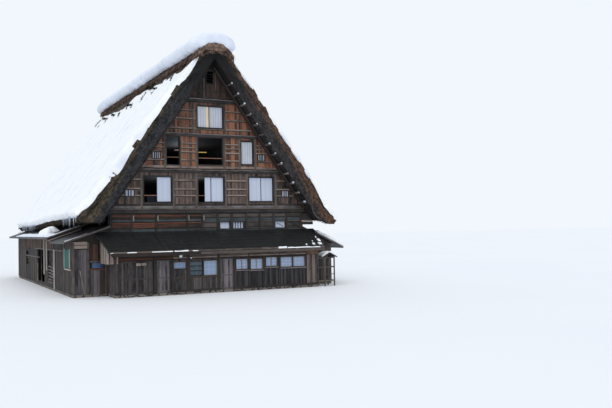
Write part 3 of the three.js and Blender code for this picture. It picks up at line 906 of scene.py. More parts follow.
def snow_effect() -> Effect:
    """Settled snow: faint streaks down the slope, soft dimples and a fine grain.

    Returns:
        The shared group.
    """
    effect = Effect("settled snow", {
        "Vector": (Socket.VECTOR, None), "Lit": (Socket.COLOR, None), "Shade": (Socket.COLOR, None),
    }, {"Color": Socket.COLOR, "Height": Socket.VALUE})
    t, take = effect.tree, effect.inputs
    x, y, z = t.split(take["Vector"])[:3]
    down = down_slope(t, t.math("ABSOLUTE", x), z)
    streaks = t.noise(t.gather(t.times(down, 0.45), t.times(y, 2.1), 0.0), 1.0, 5)
    dimples = t.noise(take["Vector"], 2.2, 4)
    fine = t.noise(take["Vector"], 42.0, 3)
    mark = t.times(t.ramp(t.scaled(dimples, 0.5, streaks), 0.68, 1.05), 0.8)
    effect.give("Color", t.blend(take["Lit"], take["Shade"], mark))
    height = t.scaled(streaks, 0.5, dimples)
    effect.give("Height", t.scaled(fine, 0.06, height))
    return effect


def shade(color: Triple) -> Rect:
    """A colour as seen, 0 to 255, turned into the linear values that shaders take.

    Args:
        color: red, green and blue.

    Returns:
        Red, green, blue and alpha.
    """
    parts = [c / 255 for c in color]
    linear = [c / 12.92 if c <= 0.04045 else ((c + 0.055) / 1.055) ** 2.4 for c in parts]
    return (*linear, 1.0)


class Stuff:
    """One material: a Principled shader and the tree that feeds it."""

    def __init__(self, name: str, roughness: float = 0.8, **inputs: float) -> None:
        """Makes the material with its plain values set on the shader's own sockets.

        Args:
            name: the material's name.
            roughness: its plain roughness.
            inputs: other sockets' values, with underscores in their names.
        """
        self.material = bpy.data.materials.new(name)
        self.material.use_nodes = True
        self.material.node_tree.nodes.clear()
        self.tree = Tree(self.material.node_tree)
        self.shader = self.tree.add("ShaderNodeBsdfPrincipled")
        self.shader.inputs["Roughness"].default_value = roughness
        for key, value in inputs.items():
            self.shader.inputs[key.replace("_", " ")].default_value = value
        end = self.tree.add("ShaderNodeOutputMaterial")
        self.tree.feed(self.shader.outputs[0], end.inputs[0])

    def where(self) -> NodeSocket:
        """The point on the house, from the Object coordinates."""
        return self.tree.add("ShaderNodeTexCoord").outputs["Object"]

    def grain(self) -> NodeSocket:
        """The piece's own map, with its first axis along the grain."""
        return self.tree.add("ShaderNodeUVMap", uv_map="UVMap").outputs[0]

    def tint(self) -> NodeSocket:
        """The shade that each board was marked with."""
        return self.tree.add("ShaderNodeAttribute", attribute_name="tint").outputs["Fac"]

    def use(self, effect: Effect, **inputs: object) -> bpy.types.NodeOutputs:
        """Places a shared effect in this material with its own values.

        Args:
            effect: the shared effect.
            inputs: a value or socket for each of its inputs.

        Returns:
            Its outputs.
        """
        node = self.tree.add("ShaderNodeGroup", node_tree=effect.group)
        for key, value in inputs.items():
            self.tree.feed(value, node.inputs[key])
        return node.outputs

    def paint(self, color: NodeSocket) -> None:
        """Links a colour to the shader."""
        self.tree.feed(color, self.shader.inputs["Base Color"])

    def relief(self, height: NodeSocket, strength: float, reach: float) -> None:
        """Links relief to the shader.

        Args:
            height: the relief's height.
            strength: how strongly it shows.
            reach: its depth in metres.
        """
        bump = self.tree.add("ShaderNodeBump")
        bump.inputs["Strength"].default_value = strength
        bump.inputs["Distance"].default_value = reach
        self.tree.feed(height, bump.inputs["Height"])
        self.tree.feed(bump.outputs[0], self.shader.inputs["Normal"])

    def dress(self, outputs: bpy.types.NodeOutputs, strength: float, reach: float) -> Material:
        """Links an effect's outputs to the shader.

        Args:
            outputs: sockets named Color, and where it has them Roughness and Height.
            strength: how strongly the relief shows.
            reach: its depth in metres.

        Returns:
            The finished material.
        """
        self.paint(outputs["Color"])
        if "Roughness" in outputs:
            self.tree.feed(outputs["Roughness"], self.shader.inputs["Roughness"])
        self.relief(outputs["Height"], strength, reach)
        return self.material


@dataclass(frozen=True)
class Wood:
    """A wood finish: its dark and light shades, its grey and how much of it shows."""

    name: str
    dark: Triple
    light: Triple
    bleach: Triple
    bleached: float
    upright: bool | None = None  # None for pieces with a map of their own

    def make(self, effect: Effect) -> Material:
        """Builds the material, along the piece's map or along an axis of the house.

        Args:
            effect: the shared grain.

        Returns:
            The finished material.
        """
        stuff = Stuff(self.name)
        if self.upright is None:
            vector, tint = stuff.grain(), stuff.tint()
        else:
            x, y, z = stuff.tree.split(stuff.where())[:3]
            level = stuff.tree.plus(x, y)
            vector = stuff.tree.gather(*((z, level) if self.upright else (level, z)), 0.0)
            board = stuff.tree.math("FLOOR", stuff.tree.times(level if self.upright else z, 4.6))
            tint = stuff.tree.noise(stuff.tree.gather(board, 0.5, 0.5), 7.7, 0)
        outputs = stuff.use(effect, Vector=vector, Tint=tint, Dark=shade(self.dark), Light=shade(self.light),
                            Bleach=shade(self.bleach), Bleached=self.bleached)
        return stuff.dress(outputs, 0.5, 0.006)


@dataclass(frozen=True)
class Reed:
    """A thatch finish: shades inside and outside, moss, and the depth where it turns brown."""

    name: str
    inner: Triple
    outer: Triple
    moss: Triple
    mossy: float
    turn: float

    def make(self, effect: Effect) -> Material:
        """Builds the material.

        Args:
            effect: the shared reed.

        Returns:
            The finished material.
        """
        stuff = Stuff(self.name, 0.95)
        outputs = stuff.use(effect, Vector=stuff.where(), Inner=shade(self.inner), Outer=shade(self.outer),
                            Moss=shade(self.moss), Mossy=self.mossy, Turn=self.turn)
        return stuff.dress(outputs, 0.9, 0.05)


@dataclass(frozen=True)
class Snow:
    """A snow finish: its lit and its shaded white, and the depth of its relief."""

    name: str
    lit: Triple
    dull: Triple
    relief: float

    def make(self, effect: Effect) -> Material:
        """Builds the material.

        Args:
            effect: the shared snow.

        Returns:
            The finished material.
        """
        stuff = Stuff(self.name, 0.55)
        outputs = stuff.use(effect, Vector=stuff.where(), Lit=shade(self.lit), Shade=shade(self.dull))
        return stuff.dress(outputs, 0.5, self.relief)


@dataclass(frozen=True)
class Sheeting:
    """Painted sheet metal: its colour, its worn patches and how far rain has streaked it."""

    name: str
    paint: Triple
    worn: Triple
    streaked: float

    def make(self) -> Material:
        """Builds the material.

        Returns:
            The finished material.
        """
        stuff = Stuff(self.name, 0.5)
        t = stuff.tree
        where = stuff.where()
        x, y, z = t.split(where)[:3]
        rain = t.noise(t.gather(t.times(x, 9.0), t.times(y, 0.5), z), 1.0, 4)
        broad = t.noise(where, 0.8, 3)
        fine = t.noise(where, 30.0, 3)
        mark = t.times(t.ramp(t.scaled(broad, 0.8, rain), 0.85, 1.25), self.streaked)
        stuff.paint(t.blend(shade(self.paint), shade(self.worn), mark))
        t.feed(t.scaled(rain, 0.3, 0.38), stuff.shader.inputs["Roughness"])
        stuff.relief(t.scaled(fine, 0.2, broad), 0.25, 0.01)
        return stuff.material


@dataclass(frozen=True)
class Pane:
    """Paper or glass in a frame: its colour, its lines and its gloss; the lines are bars, and on the curtain
    painted shade in its folds.
    """

    name: str
    color: Triple
    line: Triple
    lines: Pair  # lines in a metre, across and upwards
    strength: float
    roughness: float

    def make(self) -> Material:
        """Builds the material.

        Returns:
            The finished material.
        """
        stuff = Stuff(self.name, self.roughness)
        t = stuff.tree
        u, v = t.split(stuff.grain())[:2]
        marks = []
        for part, often in zip((v, u), self.lines):
            if often:
                wave = t.math("SINE", t.times(part, often * math.tau))
                marks.append(t.ramp(wave, 0.55, 1.0))
        cloud = t.noise(stuff.where(), 2.6, 3)
        mark = t.times(t.math("MAXIMUM", *marks) if len(marks) > 1 else marks[0], self.strength)
        mark = t.plus(mark, t.scaled(cloud, 0.5, -0.2), clamp=True)
        stuff.paint(t.blend(shade(self.color), shade(self.line), mark))
        stuff.relief(t.scaled(cloud, 2.0, mark), 0.3, 0.004)
        return stuff.material


def marks_of(line: np.ndarray) -> np.ndarray:
    """How far along a line each of its points lies."""
    return np.concatenate(([0], np.cumsum(np.hypot(*np.diff(line, axis=0).T))))


def points_on(line: np.ndarray, at: np.ndarray) -> np.ndarray:
    """The points at these distances along a line."""
    marks = marks_of(line)
    return np.column_stack([np.interp(at, marks, line[:, i]) for i in (0, 1)])


def spaced(points: Sequence[Pair], step: float) -> np.ndarray:
    """Points every step along a line."""
    line = np.array(points)
    return points_on(line, np.arange(0, marks_of(line)[-1], step))


def placed_on(values: Sequence[Pair], at: np.ndarray) -> np.ndarray:
    """Reads a table of places and values at other places."""
    return np.interp(at, *zip(*values))


class Scatter:
    """Many copies of one small modelled shape, each with its own size, place and direction."""

    def __init__(self, pattern: Object, seed: int) -> None:
        """Keeps the shape, which stands on the origin and is one unit long upwards."""
        self.pattern = pattern
        self.rng = np.random.default_rng(seed)

    def spread(self, name: str, roots: np.ndarray, aims: np.ndarray, lengths: np.ndarray | float,
               widths: np.ndarray | float) -> Object:
        """Puts a copy at each root, pointing along its aim.

        Args:
            name: the new object's name.
            roots: rows of x, y and z.
            aims: rows of directions, of any length.
            lengths: a length for each copy.
            widths: a width for each copy.

        Returns:
            One object with all copies.
        """
        count = len(roots)
        shape = Bench.coords(self.pattern)
        x, y, z = (shape[None, :, i:i + 1] for i in range(3))
        aims = aims / np.linalg.norm(aims, axis=1, keepdims=True)
        side = np.cross(aims, self.rng.normal(size=(count, 3)))
        side /= np.linalg.norm(side, axis=1, keepdims=True)
        other = np.cross(aims, side)
        lengths = np.broadcast_to(lengths, count)[:, None, None]
        widths = np.broadcast_to(widths, count)[:, None, None]
        placed = (roots[:, None] + aims[:, None] * z * lengths
                  + side[:, None] * x * widths + other[:, None] * y * widths)
        obj = Bench.copies(self.pattern, count, name)
        Bench.shape(obj, placed.reshape(-1, 3))
        Bench.mark(obj, np.repeat(self.rng.uniform(0, 1, count), len(shape)))
        return obj


def tuft_shape(blades: int, seed: int) -> Object:
    """A frayed tuft of reed: a few thin blades that lean apart from one root.

    Args:
        blades: how many blades it has.
        seed: start of its random draws.

    Returns:
        The tuft, about one unit long.
    """
    rng = np.random.default_rng(seed)
    parts = []
    for _ in range(blades):
        blade = Bench.primitive("cone", vertices=3, radius1=0.3, radius2=0.04, depth=1,
                                end_fill_type="NGON", location=(0, 0, 0.5))
        co = Bench.coords(blade)
        lean = rng.normal(0, 0.55, 2)
        co[:, :2] *= rng.uniform(0.6, 1.0)
        co[:, :2] += lean * co[:, 2:3] ** 1.4 + rng.normal(0, 0.35, 2)
        co[:, 2] = co[:, 2] * rng.uniform(0.65, 1.0) - 0.15
        Bench.shape(blade, co)
        parts.append(blade)
    return Bench.join(parts, "tuft")


def icicle_shape() -> Object:
    """An icicle that hangs one unit down, with the swellings that dripping leaves.

    Returns:
        The icicle.
    """
    icicle = Bench.primitive("cone", vertices=7, radius1=1, radius2=0.06, depth=1, location=(0, 0, 0.5))
    Bench.cut_rings(icicle, 5)
    co = Bench.coords(icicle)
    co[:, :2] *= (1 + 0.22 * np.sin(co[:, 2:3] * 23)) * (1 - 0.35 * co[:, 2:3])
    Bench.shape(icicle, co)
    return Bench.smooth(icicle, 80)


@dataclass
class Blanket:
    """A layer of snow, modelled as a flat slab and bent over a run of roof."""

    name: str
    line: Sequence[Pair]  # section it lies on, from its upper edge down
    run: Pair  # where it starts and ends along the roof
    depth: float
    across: Triple = (1, 0, 0)
    along: Triple = (0, 1, 0)
    rows: int = 60
    columns: int = 120
    edge: float = 0.24  # run over which its borders round off
    ragged: float = 0.08
    swell: float = 0.15
    seat: float = 0.05
    ends: Sequence[Pair] = ()  # height of its ends over the section, at places down it
    upper: Sequence[Pair] = ()  # how far down its upper edge starts, at places along the run
    thin: Sequence[Pair] = ()  # share of its depth at distances below its upper edge
    seed: int = 1

    BEND = 0.14  # half the length that its slope is taken over
    END = 0.3  # run over which its ends come down to their own height

    def _slab(self) -> Object:
        """A flat slab one unit long and wide, in even cells.

        Returns:
            The slab.
        """
        slab = Bench.primitive("grid", x_subdivisions=self.rows, y_subdivisions=self.columns, size=1,
                               location=(0.5, 0.5, 0))
        with Bench.editing(slab):
            bpy.ops.mesh.select_all(action="SELECT")
            bpy.ops.mesh.extrude_region_move(TRANSFORM_OT_translate={"value": (0, 0, 1)})
        return slab

    def _on_line(self, s: np.ndarray) -> tuple[np.ndarray, np.ndarray]:
        """Points of the section at these distances down it, and their outward normals.

        Args:
            s: distances down the section.

        Returns:
            Rows of points, and rows of normals.
        """
        line = np.array(self.line, float)
        near, far = (np.clip(s + step, 0, marks_of(line)[-1]) for step in (-self.BEND, self.BEND))
        ahead = points_on(line, far) - points_on(line, near)
        ahead /= np.linalg.norm(ahead, axis=1, keepdims=True)
        return points_on(line, s), np.column_stack((-ahead[:, 1], ahead[:, 0]))

    def _round(self, distance: np.ndarray) -> np.ndarray:
        """The layer's height at a distance from its border, as a share of its depth."""
        part = np.clip(distance / self.edge, 0, 1)
        return np.sqrt(1 - (1 - part) ** 2)

    def build(self) -> Object:
        """Makes the slab and bends it into place.

        Returns:
            The finished layer.
        """
        slab = self._slab()
        u, v, layer = Bench.coords(slab).T
        u, v = (w - 0.55 * np.sin(math.tau * w) / math.tau for w in (u, v))
        noise = Noise(self.seed)
        zero = np.zeros(len(u))

        def uneven(along: np.ndarray, shift: float, size: float, octaves: int) -> np.ndarray:
            """An edge's raggedness at these places along the run."""
            return noise.rough(np.column_stack((along, zero + shift, zero)), size, octaves)

        length = sum(math.dist(a, b) for a, b in zip(self.line, self.line[1:]))
        run = self.run[0] + (self.run[1] - self.run[0]) * v
        top = zero
        if self.upper:
            top = placed_on(self.upper, run) + self.ragged * 2 * np.abs(uneven(run, 0, 1.1, 4))
        low = length - self.ragged * 0.7 * np.abs(uneven(run, 40, 0.8, 3))
        s = top + (low - top) * u
        start, end = (edge + self.ragged * uneven(s, shift, 0.5, 4) + inward
                      for edge, shift, inward in zip(self.run, (9, 18), (self.ragged, -self.ragged)))
        run = start + (end - start) * v
        point, normal = self._on_line(s)
        height = (self._round(s - top) * self._round(low - s)
                  * self._round(run - start) * self._round(end - run))
        flat = np.column_stack((s / 2.6, run, zero))
        height = height * (1 + self.swell * noise.rough(flat, 1.3, 3)
                           + 0.35 * self.swell * noise.at(flat, 0.3))
        if self.thin:
            height = height * placed_on(self.thin, s - top)
        past = np.clip(1 - np.minimum(run - start, end - run) / self.END, 0, 1) ** 2
        tip = placed_on(self.ends or ((0, -self.seat), (1, -self.seat)), s)
        tip = tip + 0.35 * self.ragged * noise.at(np.column_stack((s, zero, zero)), 0.3)
        under = -self.seat * (1 - past) + tip * past
        over = self.depth * height + np.maximum(tip, -0.03) * past * 0.5
        section = point + normal * np.where(layer > 0.5, over, under)[:, None]
        across, along = np.array(self.across, float), np.array(self.along, float)
        upwards = np.array((0, 0, 1.0))
        Bench.shape(slab, section[:, :1] * across + section[:, 1:] * upwards + run[:, None] * along)
        Bench.outwards(slab)
        slab.name = slab.data.name = self.name
        return Bench.smooth(slab, 70)


def bend_of(x: float, z: float, radius: float) -> list[Pair]:
    """Points of a rounded end that curls down from a point of the section."""
    return [(x + radius * math.sin(a), z - radius * (1 - math.cos(a))) for a in np.linspace(0, 1.4, 5)]


class Bundle:
    """Tufts of reed collected group by group, until they are laid as one piece."""

    def __init__(self) -> None:
        """Starts with no tuft."""
        self.roots: list[np.ndarray] = []
        self.aims: list[np.ndarray] = []
        self.sizes: list[np.ndarray] = []

    def add(self, roots: Sequence[np.ndarray], aims: Sequence[np.ndarray], sizes: np.ndarray) -> None:
        """Adds a group.

        Args:
            roots: x, y and z of the points that the tufts start from.
            aims: x, y and z of their directions.
            sizes: their lengths.
        """
        self.roots.append(np.column_stack(roots))
        self.aims.append(np.column_stack(aims))
        self.sizes.append(sizes)

    def spread(self, tufts: Scatter, name: str, slim: float) -> Object:
        """Makes one object of all tufts, each this much slimmer than it is long."""
        sizes = np.concatenate(self.sizes)
        return tufts.spread(name, np.vstack(self.roots), np.vstack(self.aims), sizes, sizes * slim)


MARK_X, MARK_STEP = 1.24, 0.59  # where distances down the thatch start, and how far out each metre leads


def over_thatch(down: np.ndarray, lift: np.ndarray) -> tuple[np.ndarray, np.ndarray]:
    """Points of the section over the thatch.

    Args:
        down: how far down the slope each lies.
        lift: how far off the thatch each lies.

    Returns:
        Their distances to the middle, and their heights.
    """
    x = MARK_X + MARK_STEP * down
    return x + 0.81 * lift, OUTER_APEX - OUTER_SLOPE * x + 0.59 * lift


@dataclass
class Roof:
    """The two thatched slopes, their ridge, and the snow that lies on them."""

    finishes: "Finishes"
    cell: float = 0.15  # size of the thatch's cells down the slope, through it and along the roof
    layer: float = 0.14
    row: float = 0.55
    ridge_past: float = 0.19  # how far the ridge thatch reaches over the verges
    strokes: Sequence[Sequence[Pair]] = (  # along the roof and down it, where reed shows through the snow
        ((-2.38, -0.11), (-4.55, 0.4), (-7.14, 1.02)), ((-3.95, 0.69), (-3.89, 1.04), (-4.29, 1.48)),
        ((-4.0, 0.7), (-3.97, 1.04), (-4.36, 1.45)), ((0.59, 0.85), (-1.86, 1.34), (-2.45, 1.78)),
        ((0.59, 0.85), (-0.54, 1.54)), ((1.83, 1.35), (0.79, 1.99)),
        ((5.68, 0.86), (3.68, 1.3), (3.66, 1.58)), ((9.45, 0.62), (6.14, 1.21)),
        ((6.55, 1.2), (5.97, 1.67)), ((9.79, 0.69), (10.46, 0.96), (10.17, 1.5)),
        ((8.32, 1.5), (8.1, 1.83)), ((-9.34, 0.37), (-10.31, 1.12)), ((-7.4, 0.61), (-7.72, 0.55)),
        ((-6.62, 1.36), (-6.47, 1.11)))
    left_edge: Sequence[Pair] = (  # down the left slope and out from it, where the snow ends at the verge
        (-0.41, -0.04), (0, -0.07), (0.6, -0.17), (1.1, -0.2), (1.6, -0.1), (2.7, -0.06), (5, -0.12),
        (5.9, -0.18), (6.8, -0.14), (8, -0.3), (8.5, -0.18), (9.3, -0.06), (10.7, -0.04), (11.2, 0.04),
        (12, 0.06))
    right_edge: Sequence[Pair] = (
        (0, 0.02), (1, 0.1), (3, 0.16), (4.2, 0.02), (7, 0.04), (9, -0.04), (11, -0.14), (13, -0.16))
    left_top: Sequence[Pair] = (  # along the roof and down it, where the snow starts below the ridge
        (-12.7, -0.35), (-12.45, -0.12), (-12.1, 0.15), (-11.6, 0.3), (-10.7, 0.33), (-9.6, 0.18),
        (-8.95, 0.05), (-8.7, 0.3), (-8.4, 0.45), (-7.7, 0.3), (-7.35, 0.14), (-7.1, 0.42), (-6.6, 0.44),
        (-5.9, 0.2), (-5.4, 0.08), (-5.05, 0.36), (-4.4, 0.38), (-3.2, 0.1), (-1.9, -0.12), (-1.6, 0.12),
        (-0.6, 0.0), (0, -0.1), (0.4, 0.1), (0.7, 0.36), (1.4, 0.55), (1.7, 0.72), (2.9, 0.75), (4, 0.78),
        (6.2, 0.43), (7.3, 0.37), (9, 0.25), (10.4, 0), (10.9, 0.12), (12.3, 0.2))
    right_top: Sequence[Pair] = ((-12.6, 0.1), (12.5, 0.25))
    crown: Sequence[Pair] = (  # round the section of the snow on the ridge
        (1.26, 14.40), (1.46, 14.6), (1.44, 14.84), (1.27, 15.13), (0.88, 15.39), (0.44, 15.52),
        (0, 15.54), (-0.42, 15.46), (-0.84, 15.28), (-1.2, 15.05), (-1.46, 14.83), (-1.52, 14.6),
        (-1.34, 14.34), (-1.1, 14.24), (-0.8, 14.4), (-0.45, 14.6), (0, 14.68), (0.45, 14.6),
        (0.8, 14.4), (1.0, 14.26), (1.2, 14.40))

    def build(self) -> None:
        """Makes every piece of the roof."""
        tuft = tuft_shape(5, 11)
        self.tufts = Scatter(tuft, 12)
        self._slope(-1, "left")
        self._fringe(-1, "left")
        self._verge_reed()
        self._slope(1, "right")
        self._fringe(1, "right")
        self._ridge_thatch()
        self._ridge_fringe()
        self._ridge_snow()
        self._slope_snow()
        self._bare_reed()
        self._icicles()
        bpy.data.objects.remove(tuft)

    def _sag(self, co: np.ndarray) -> np.ndarray:
        """Lowers reed and snow at the right front corner and along the rear of the left eave.

        Args:
            co: rows of x, y and z.

        Returns:
            The lowered rows.
        """
        corner = np.interp(co[:, 0], (6.3, 6.9, 7.4, 8.2), (0, 0.12, 0.27, 0.35))
        lower = co.copy()
        lower[:, 2] -= corner * np.clip((-co[:, 1] - 11.3) / 1.2, 0, 1) ** 2
        along = np.interp(co[:, 1], (-9, -4, -1.5, 1.3, 5.2, 12), (0, 0.04, 0.12, 0.2, 0.29, 0.33))
        lower[:, 2] -= along * np.interp(-co[:, 0], (6.4, 7.2, 7.9), (0, 0.5, 1))
        return lower

    def _slope(self, side: int, word: str) -> None:
        """One slope of thatch, cut into cells and roughened.

        Args:
            side: -1 for the left slope, 1 for the right one.
            word: the side's name.
        """
        piece = Bench.copy_of_node(f"thatch_{word}", f"reed_{word}")
        out, down = SLOPE_OUT, SLOPE_DOWN
        planes = [((side * 0.01 + side * out * s, 0, 14.3 - down * s), (side * out, 0, -down))
                  for s in np.arange(0.1, 13.2, self.cell)]
        planes += [((0, 0, INNER_APEX + t / out), (side * down, 0, out))
                   for t in np.arange(0.12, 0.9, self.layer)]
        near = [VERGE_Y - 0.13 * k for k in range(1, 8)]
        planes += [((0, y, 0), (0, 1, 0))
                   for y in [*near, *(-y for y in near), *np.arange(-11, 11.1, self.row)]]
        Bench.slice(piece, planes)
        co, normal = Bench.coords(piece), Bench.normals(piece)
        noise = Noise(21 + side)
        laid = np.column_stack((abs(co[:, 0]) * out - co[:, 2] * down, co[:, 1] * 1.5,
                                co[:, 2] * out + abs(co[:, 0]) * down))
        depth = (co[:, 2] + INNER_SLOPE * abs(co[:, 0]) - INNER_APEX) / THATCH_RISE
        rough = noise.rough(laid, 0.55, 3)
        reach = np.where(depth > 0.05, 0.06, 0.018)
        at_verge = np.clip((abs(co[:, 1]) - VERGE_Y + 0.02) / 0.02, 0, 1)
        bulge = at_verge * 0.07 * np.sin(np.clip(depth / 0.85, 0, 1) * math.pi)
        co += normal * (rough * reach)[:, None]
        co[:, 1] += np.sign(co[:, 1]) * bulge
        if side > 0:
            full = np.interp((abs(co[:, 0]) - MARK_X) / MARK_STEP,
                             (0, 1, 3, 4.2, 7, 9), (0.02, 0.1, 0.17, 0.05, 0.05, 0.0))
            full = full * np.clip((abs(co[:, 1]) - 12.0) / 0.4, 0, 1) * (depth > 0.75)
            co += full[:, None] * (down, 0, out)
        Bench.shape(piece, self._sag(co))
        Bench.smooth(piece, 60)
        hand_over(piece, getattr(self.finishes, f"reed_{word}"))
        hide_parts(f"thatch_{word}")

    def _fringe(self, side: int, word: str) -> None:
        """Frayed reed on the verges' faces, along their inner edges and under the eave.

        Args:
            side: -1 for the left slope, 1 for the right one.
            word: the side's name.
        """
        rng = self.tufts.rng
        inner = spaced([(0.15, 13.62), (6.79, 4.16), (7.9, 4.2)], 0.085)
        middle = spaced([(0.9, 13.35), (7.3, 4.6)], 0.05)
        bundle = Bundle()
        for end in (-1, 1):
            for line, away, size in ((inner, (-0.55, -0.35), 0.17), (middle, (0.3, -0.5), 0.14)):
                n = len(line)
                place = line.copy()
                if line is middle:
                    shift = rng.uniform(-0.42, 0.3, n)
                    if side < 0:
                        down = (line[:, 0] - MARK_X) / MARK_STEP
                        shift = np.minimum(shift, placed_on(self.left_edge, down) + 0.16)
                    place += shift[:, None] * (SLOPE_DOWN, SLOPE_OUT)
                bundle.add((side * place[:, 0], end * VERGE_Y - end * rng.uniform(0, 0.09, n), place[:, 1]),
                           (side * (away[0] + rng.normal(0, 0.3, n)), end * rng.uniform(0.5, 1.1, n),
                            away[1] + rng.normal(0, 0.3, n)),
                           size * rng.uniform(0.6, 1.4, n))
        along = np.arange(-12.5, 12.5, 0.08)
        n = len(along)
        for x, z, away, size in ((7.92, 4.26, (0.4, -1), 0.2), (7.3, 4.2, (-0.2, -1), 0.12),
                                 (8.03, 4.42, (0.45, -1), 0.2)):
            bundle.add((side * (x + rng.normal(0, 0.03, n)), along, z + rng.normal(0, 0.03, n)),
                       (side * (away[0] + rng.normal(0, 0.2, n)), rng.normal(0, 0.25, n),
                        away[1] + rng.normal(0, 0.2, n)),
                       size * rng.uniform(0.5, 1.3, n))
        self._lay_reed(f"frayed_reed_{word}", bundle, getattr(self.finishes, f"reed_{word}"))

    def _verge_reed(self) -> None:
        """Dark reed that shows beside the edge of the snow on the left slope, laid as painted shadow under
        that edge.
        """
        rng = self.tufts.rng
        down = np.arange(-0.3, 12.2, 0.09)
        n = len(down)
        x, z = over_thatch(down, placed_on(self.left_edge, down) - rng.uniform(0.13, 0.24, n))
        bundle = Bundle()
        for end in (-1, 1):
            bundle.add((-x, np.full(n, end * (VERGE_Y + 0.04)), z),
                       (rng.normal(0.15, 0.3, n), np.full(n, end * 0.6), rng.normal(-0.4, 0.25, n)),
                       rng.uniform(0.1, 0.2, n))
        self._lay_reed("verge_reed_left", bundle, self.finishes.dark_reed)

    def _lay_reed(self, name: str, bundle: Bundle, material: Material) -> None:
        """Makes one piece of a bundle, sagging with the roof.

        Args:
            name: the piece's name.
            bundle: its tufts.
            material: its finish.
        """
        piece = bundle.spread(self.tufts, name, 0.26)
        Bench.shape(piece, self._sag(Bench.coords(piece)))
        hand_over(piece, material)

    def _bare_reed(self) -> None:
        """Dark reed that stands in torn lines through the thin snow high on the left slope."""
        rng = self.tufts.rng
        bundle = Bundle()
        for stroke in self.strokes:
            line = spaced(stroke, 0.045)
            n = len(line)
            y, down = (line + rng.normal(0, 0.03, (n, 2))).T
            x, z = over_thatch(down, rng.uniform(0.0, 0.06, n))
            bundle.add((-x, y, z), (np.full(n, -0.8), rng.normal(0, 0.25, n), rng.normal(0.2, 0.2, n)),
                       rng.uniform(0.2, 0.32, n))
        self._lay_reed("bare_reed", bundle, self.finishes.dark_reed)

    def _ridge_thatch(self) -> None:
        """The thatch saddled over the ridge, swollen into bundles."""
        piece = Bench.copy_of_node("ridge_thatch", "ridge_reed")
        reach = VERGE_Y + self.ridge_past
        planes = [((0, y, 0), (0, 1, 0)) for y in np.arange(-reach + 0.1, reach, 0.13)]
        planes += [((x, 0, 0), (1, 0, 0)) for x in np.arange(-1.05, 1.1, 0.13)]
        planes += [((0, 0, z), (0, 0, 1)) for z in (13.95, 14.1, 14.25, 14.4, 14.55, 14.7)]
        Bench.slice(piece, planes)
        co, normal = Bench.coords(piece), Bench.normals(piece)
        swell = Noise(31).rough(co * (1, 1, 0.4), (0.9, 0.34, 0.9), 3)
        under_snow = co[:, 2:3] > 14.68
        co += normal * (0.1 * swell)[:, None] * np.where(under_snow, 0.2, 1)
        Bench.shape(piece, co)
        Bench.smooth(piece, 60)
        hand_over(piece, self.finishes.ridge_reed)
        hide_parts("ridge_thatch")

    def _ridge_fringe(self) -> None:
        """Reed that hangs over the lower edges and the ends of the ridge thatch."""
        rng = self.tufts.rng
        reach = VERGE_Y + self.ridge_past
        along = np.arange(-reach, reach, 0.055)
        n = len(along)
        bunched = 1 + 0.4 * Noise(31).at(np.column_stack((along, along * 0, along * 0)), 0.4)
        bundle = Bundle()
        for side, lean, inset in ((-1, 0.75, 0.0), (1, 0.25, 0.1)):
            for x, z, fall, size in ((1.16, 13.98, -1.3, 0.32), (1.08, 14.15, -1.2, 0.22),
                                     (1.0, 14.3, -1.0, 0.16)):
                bundle.add((side * (x - inset + rng.normal(0, 0.03, n)),
                            along + rng.normal(0, 0.03, n), z + rng.normal(0, 0.05, n)),
                           (side * (lean + rng.normal(0, 0.2, n)), rng.normal(0, 0.3, n),
                            fall + rng.normal(0, 0.25, n)),
                           size * rng.uniform(0.6, 1.3, n) * bunched)
        arch = np.linspace(-1.12, 1.0, 60)
        n = len(arch)
        top = np.interp(abs(arch), (0, 0.45, 0.8, 1.02, 1.17), (14.7, 14.62, 14.42, 14.15, 13.9))
        for end in (-1, 1):
            for drop in (0.08, 0.26, 0.45):
                height = np.maximum(top - drop, 13.9 + 0.1 * rng.uniform(0, 1, n))
                bundle.add((arch, end * (reach - rng.uniform(0, 0.06, n)), height),
                           (np.minimum(arch, 0.2) * 0.5 + rng.normal(0, 0.15, n),
                            end * rng.uniform(0.1, 0.5, n), rng.uniform(-1.2, -0.6, n)),
                           0.24 * rng.uniform(0.6, 1.2, n))
        hand_over(bundle.spread(self.tufts, "ridge_fringe", 0.2), self.finishes.ridge_reed)

    def _ridge_snow(self) -> None:
        """The long pillow of snow on the ridge, with blunt round ends."""
        piece = Bench.primitive("cylinder", vertices=44, radius=1, depth=1, end_fill_type="TRIFAN")
        Bench.cut_rings(piece, 110)
        co = Bench.coords(piece)
        t = co[:, 2] + 0.5
        t = t - 0.5 * np.sin(math.tau * t) / math.tau
        reach, middle, brow = VERGE_Y + 0.17, 14.85, 14.5
        y = -reach + (2 * reach + 0.12) * t
        share = (np.arctan2(co[:, 1], co[:, 0]) + 0.35) % math.tau / math.tau
        marks = np.linspace(0, 1, len(self.crown))
        x, z = (np.interp(share, marks, part) for part in zip(*self.crown))
        near = np.clip((y + reach) / 5, 0, 1)
        z = np.where(z > brow, brow + (z - brow) * (0.97 + 0.03 * near), z)
        front, rear = (np.sqrt(1 - (1 - np.clip(c / 0.5, 0, 1)) ** 2) for c in (y + reach, reach - y))
        cap = (0.62 + 0.38 * front) * (0.78 + 0.22 * rear)
        inner = np.where(np.hypot(co[:, 0], co[:, 1]) < 0.5, 0.0, 1.0)
        x, z = x * cap * inner, middle + (z - middle) * cap * inner
        droop = np.clip((y - reach + 1.5) / 1.5, 0, 1) ** 2
        x, z = x - 0.16 * droop, z - 0.42 * droop
        where = np.column_stack((x * 1.2, y, z * 1.2))
        ragged = np.where((z < brow) & (abs(x) > 1), 0.08 * Noise(41).rough(where, (2, 0.4, 2), 2), 0)
        Bench.shape(piece, np.column_stack((x, y, z + ragged)))
        Bench.outwards(piece)
        co, normal = Bench.coords(piece), Bench.normals(piece)
        where = np.column_stack((co[:, 0] * 1.2, co[:, 1], co[:, 2] * 1.2))
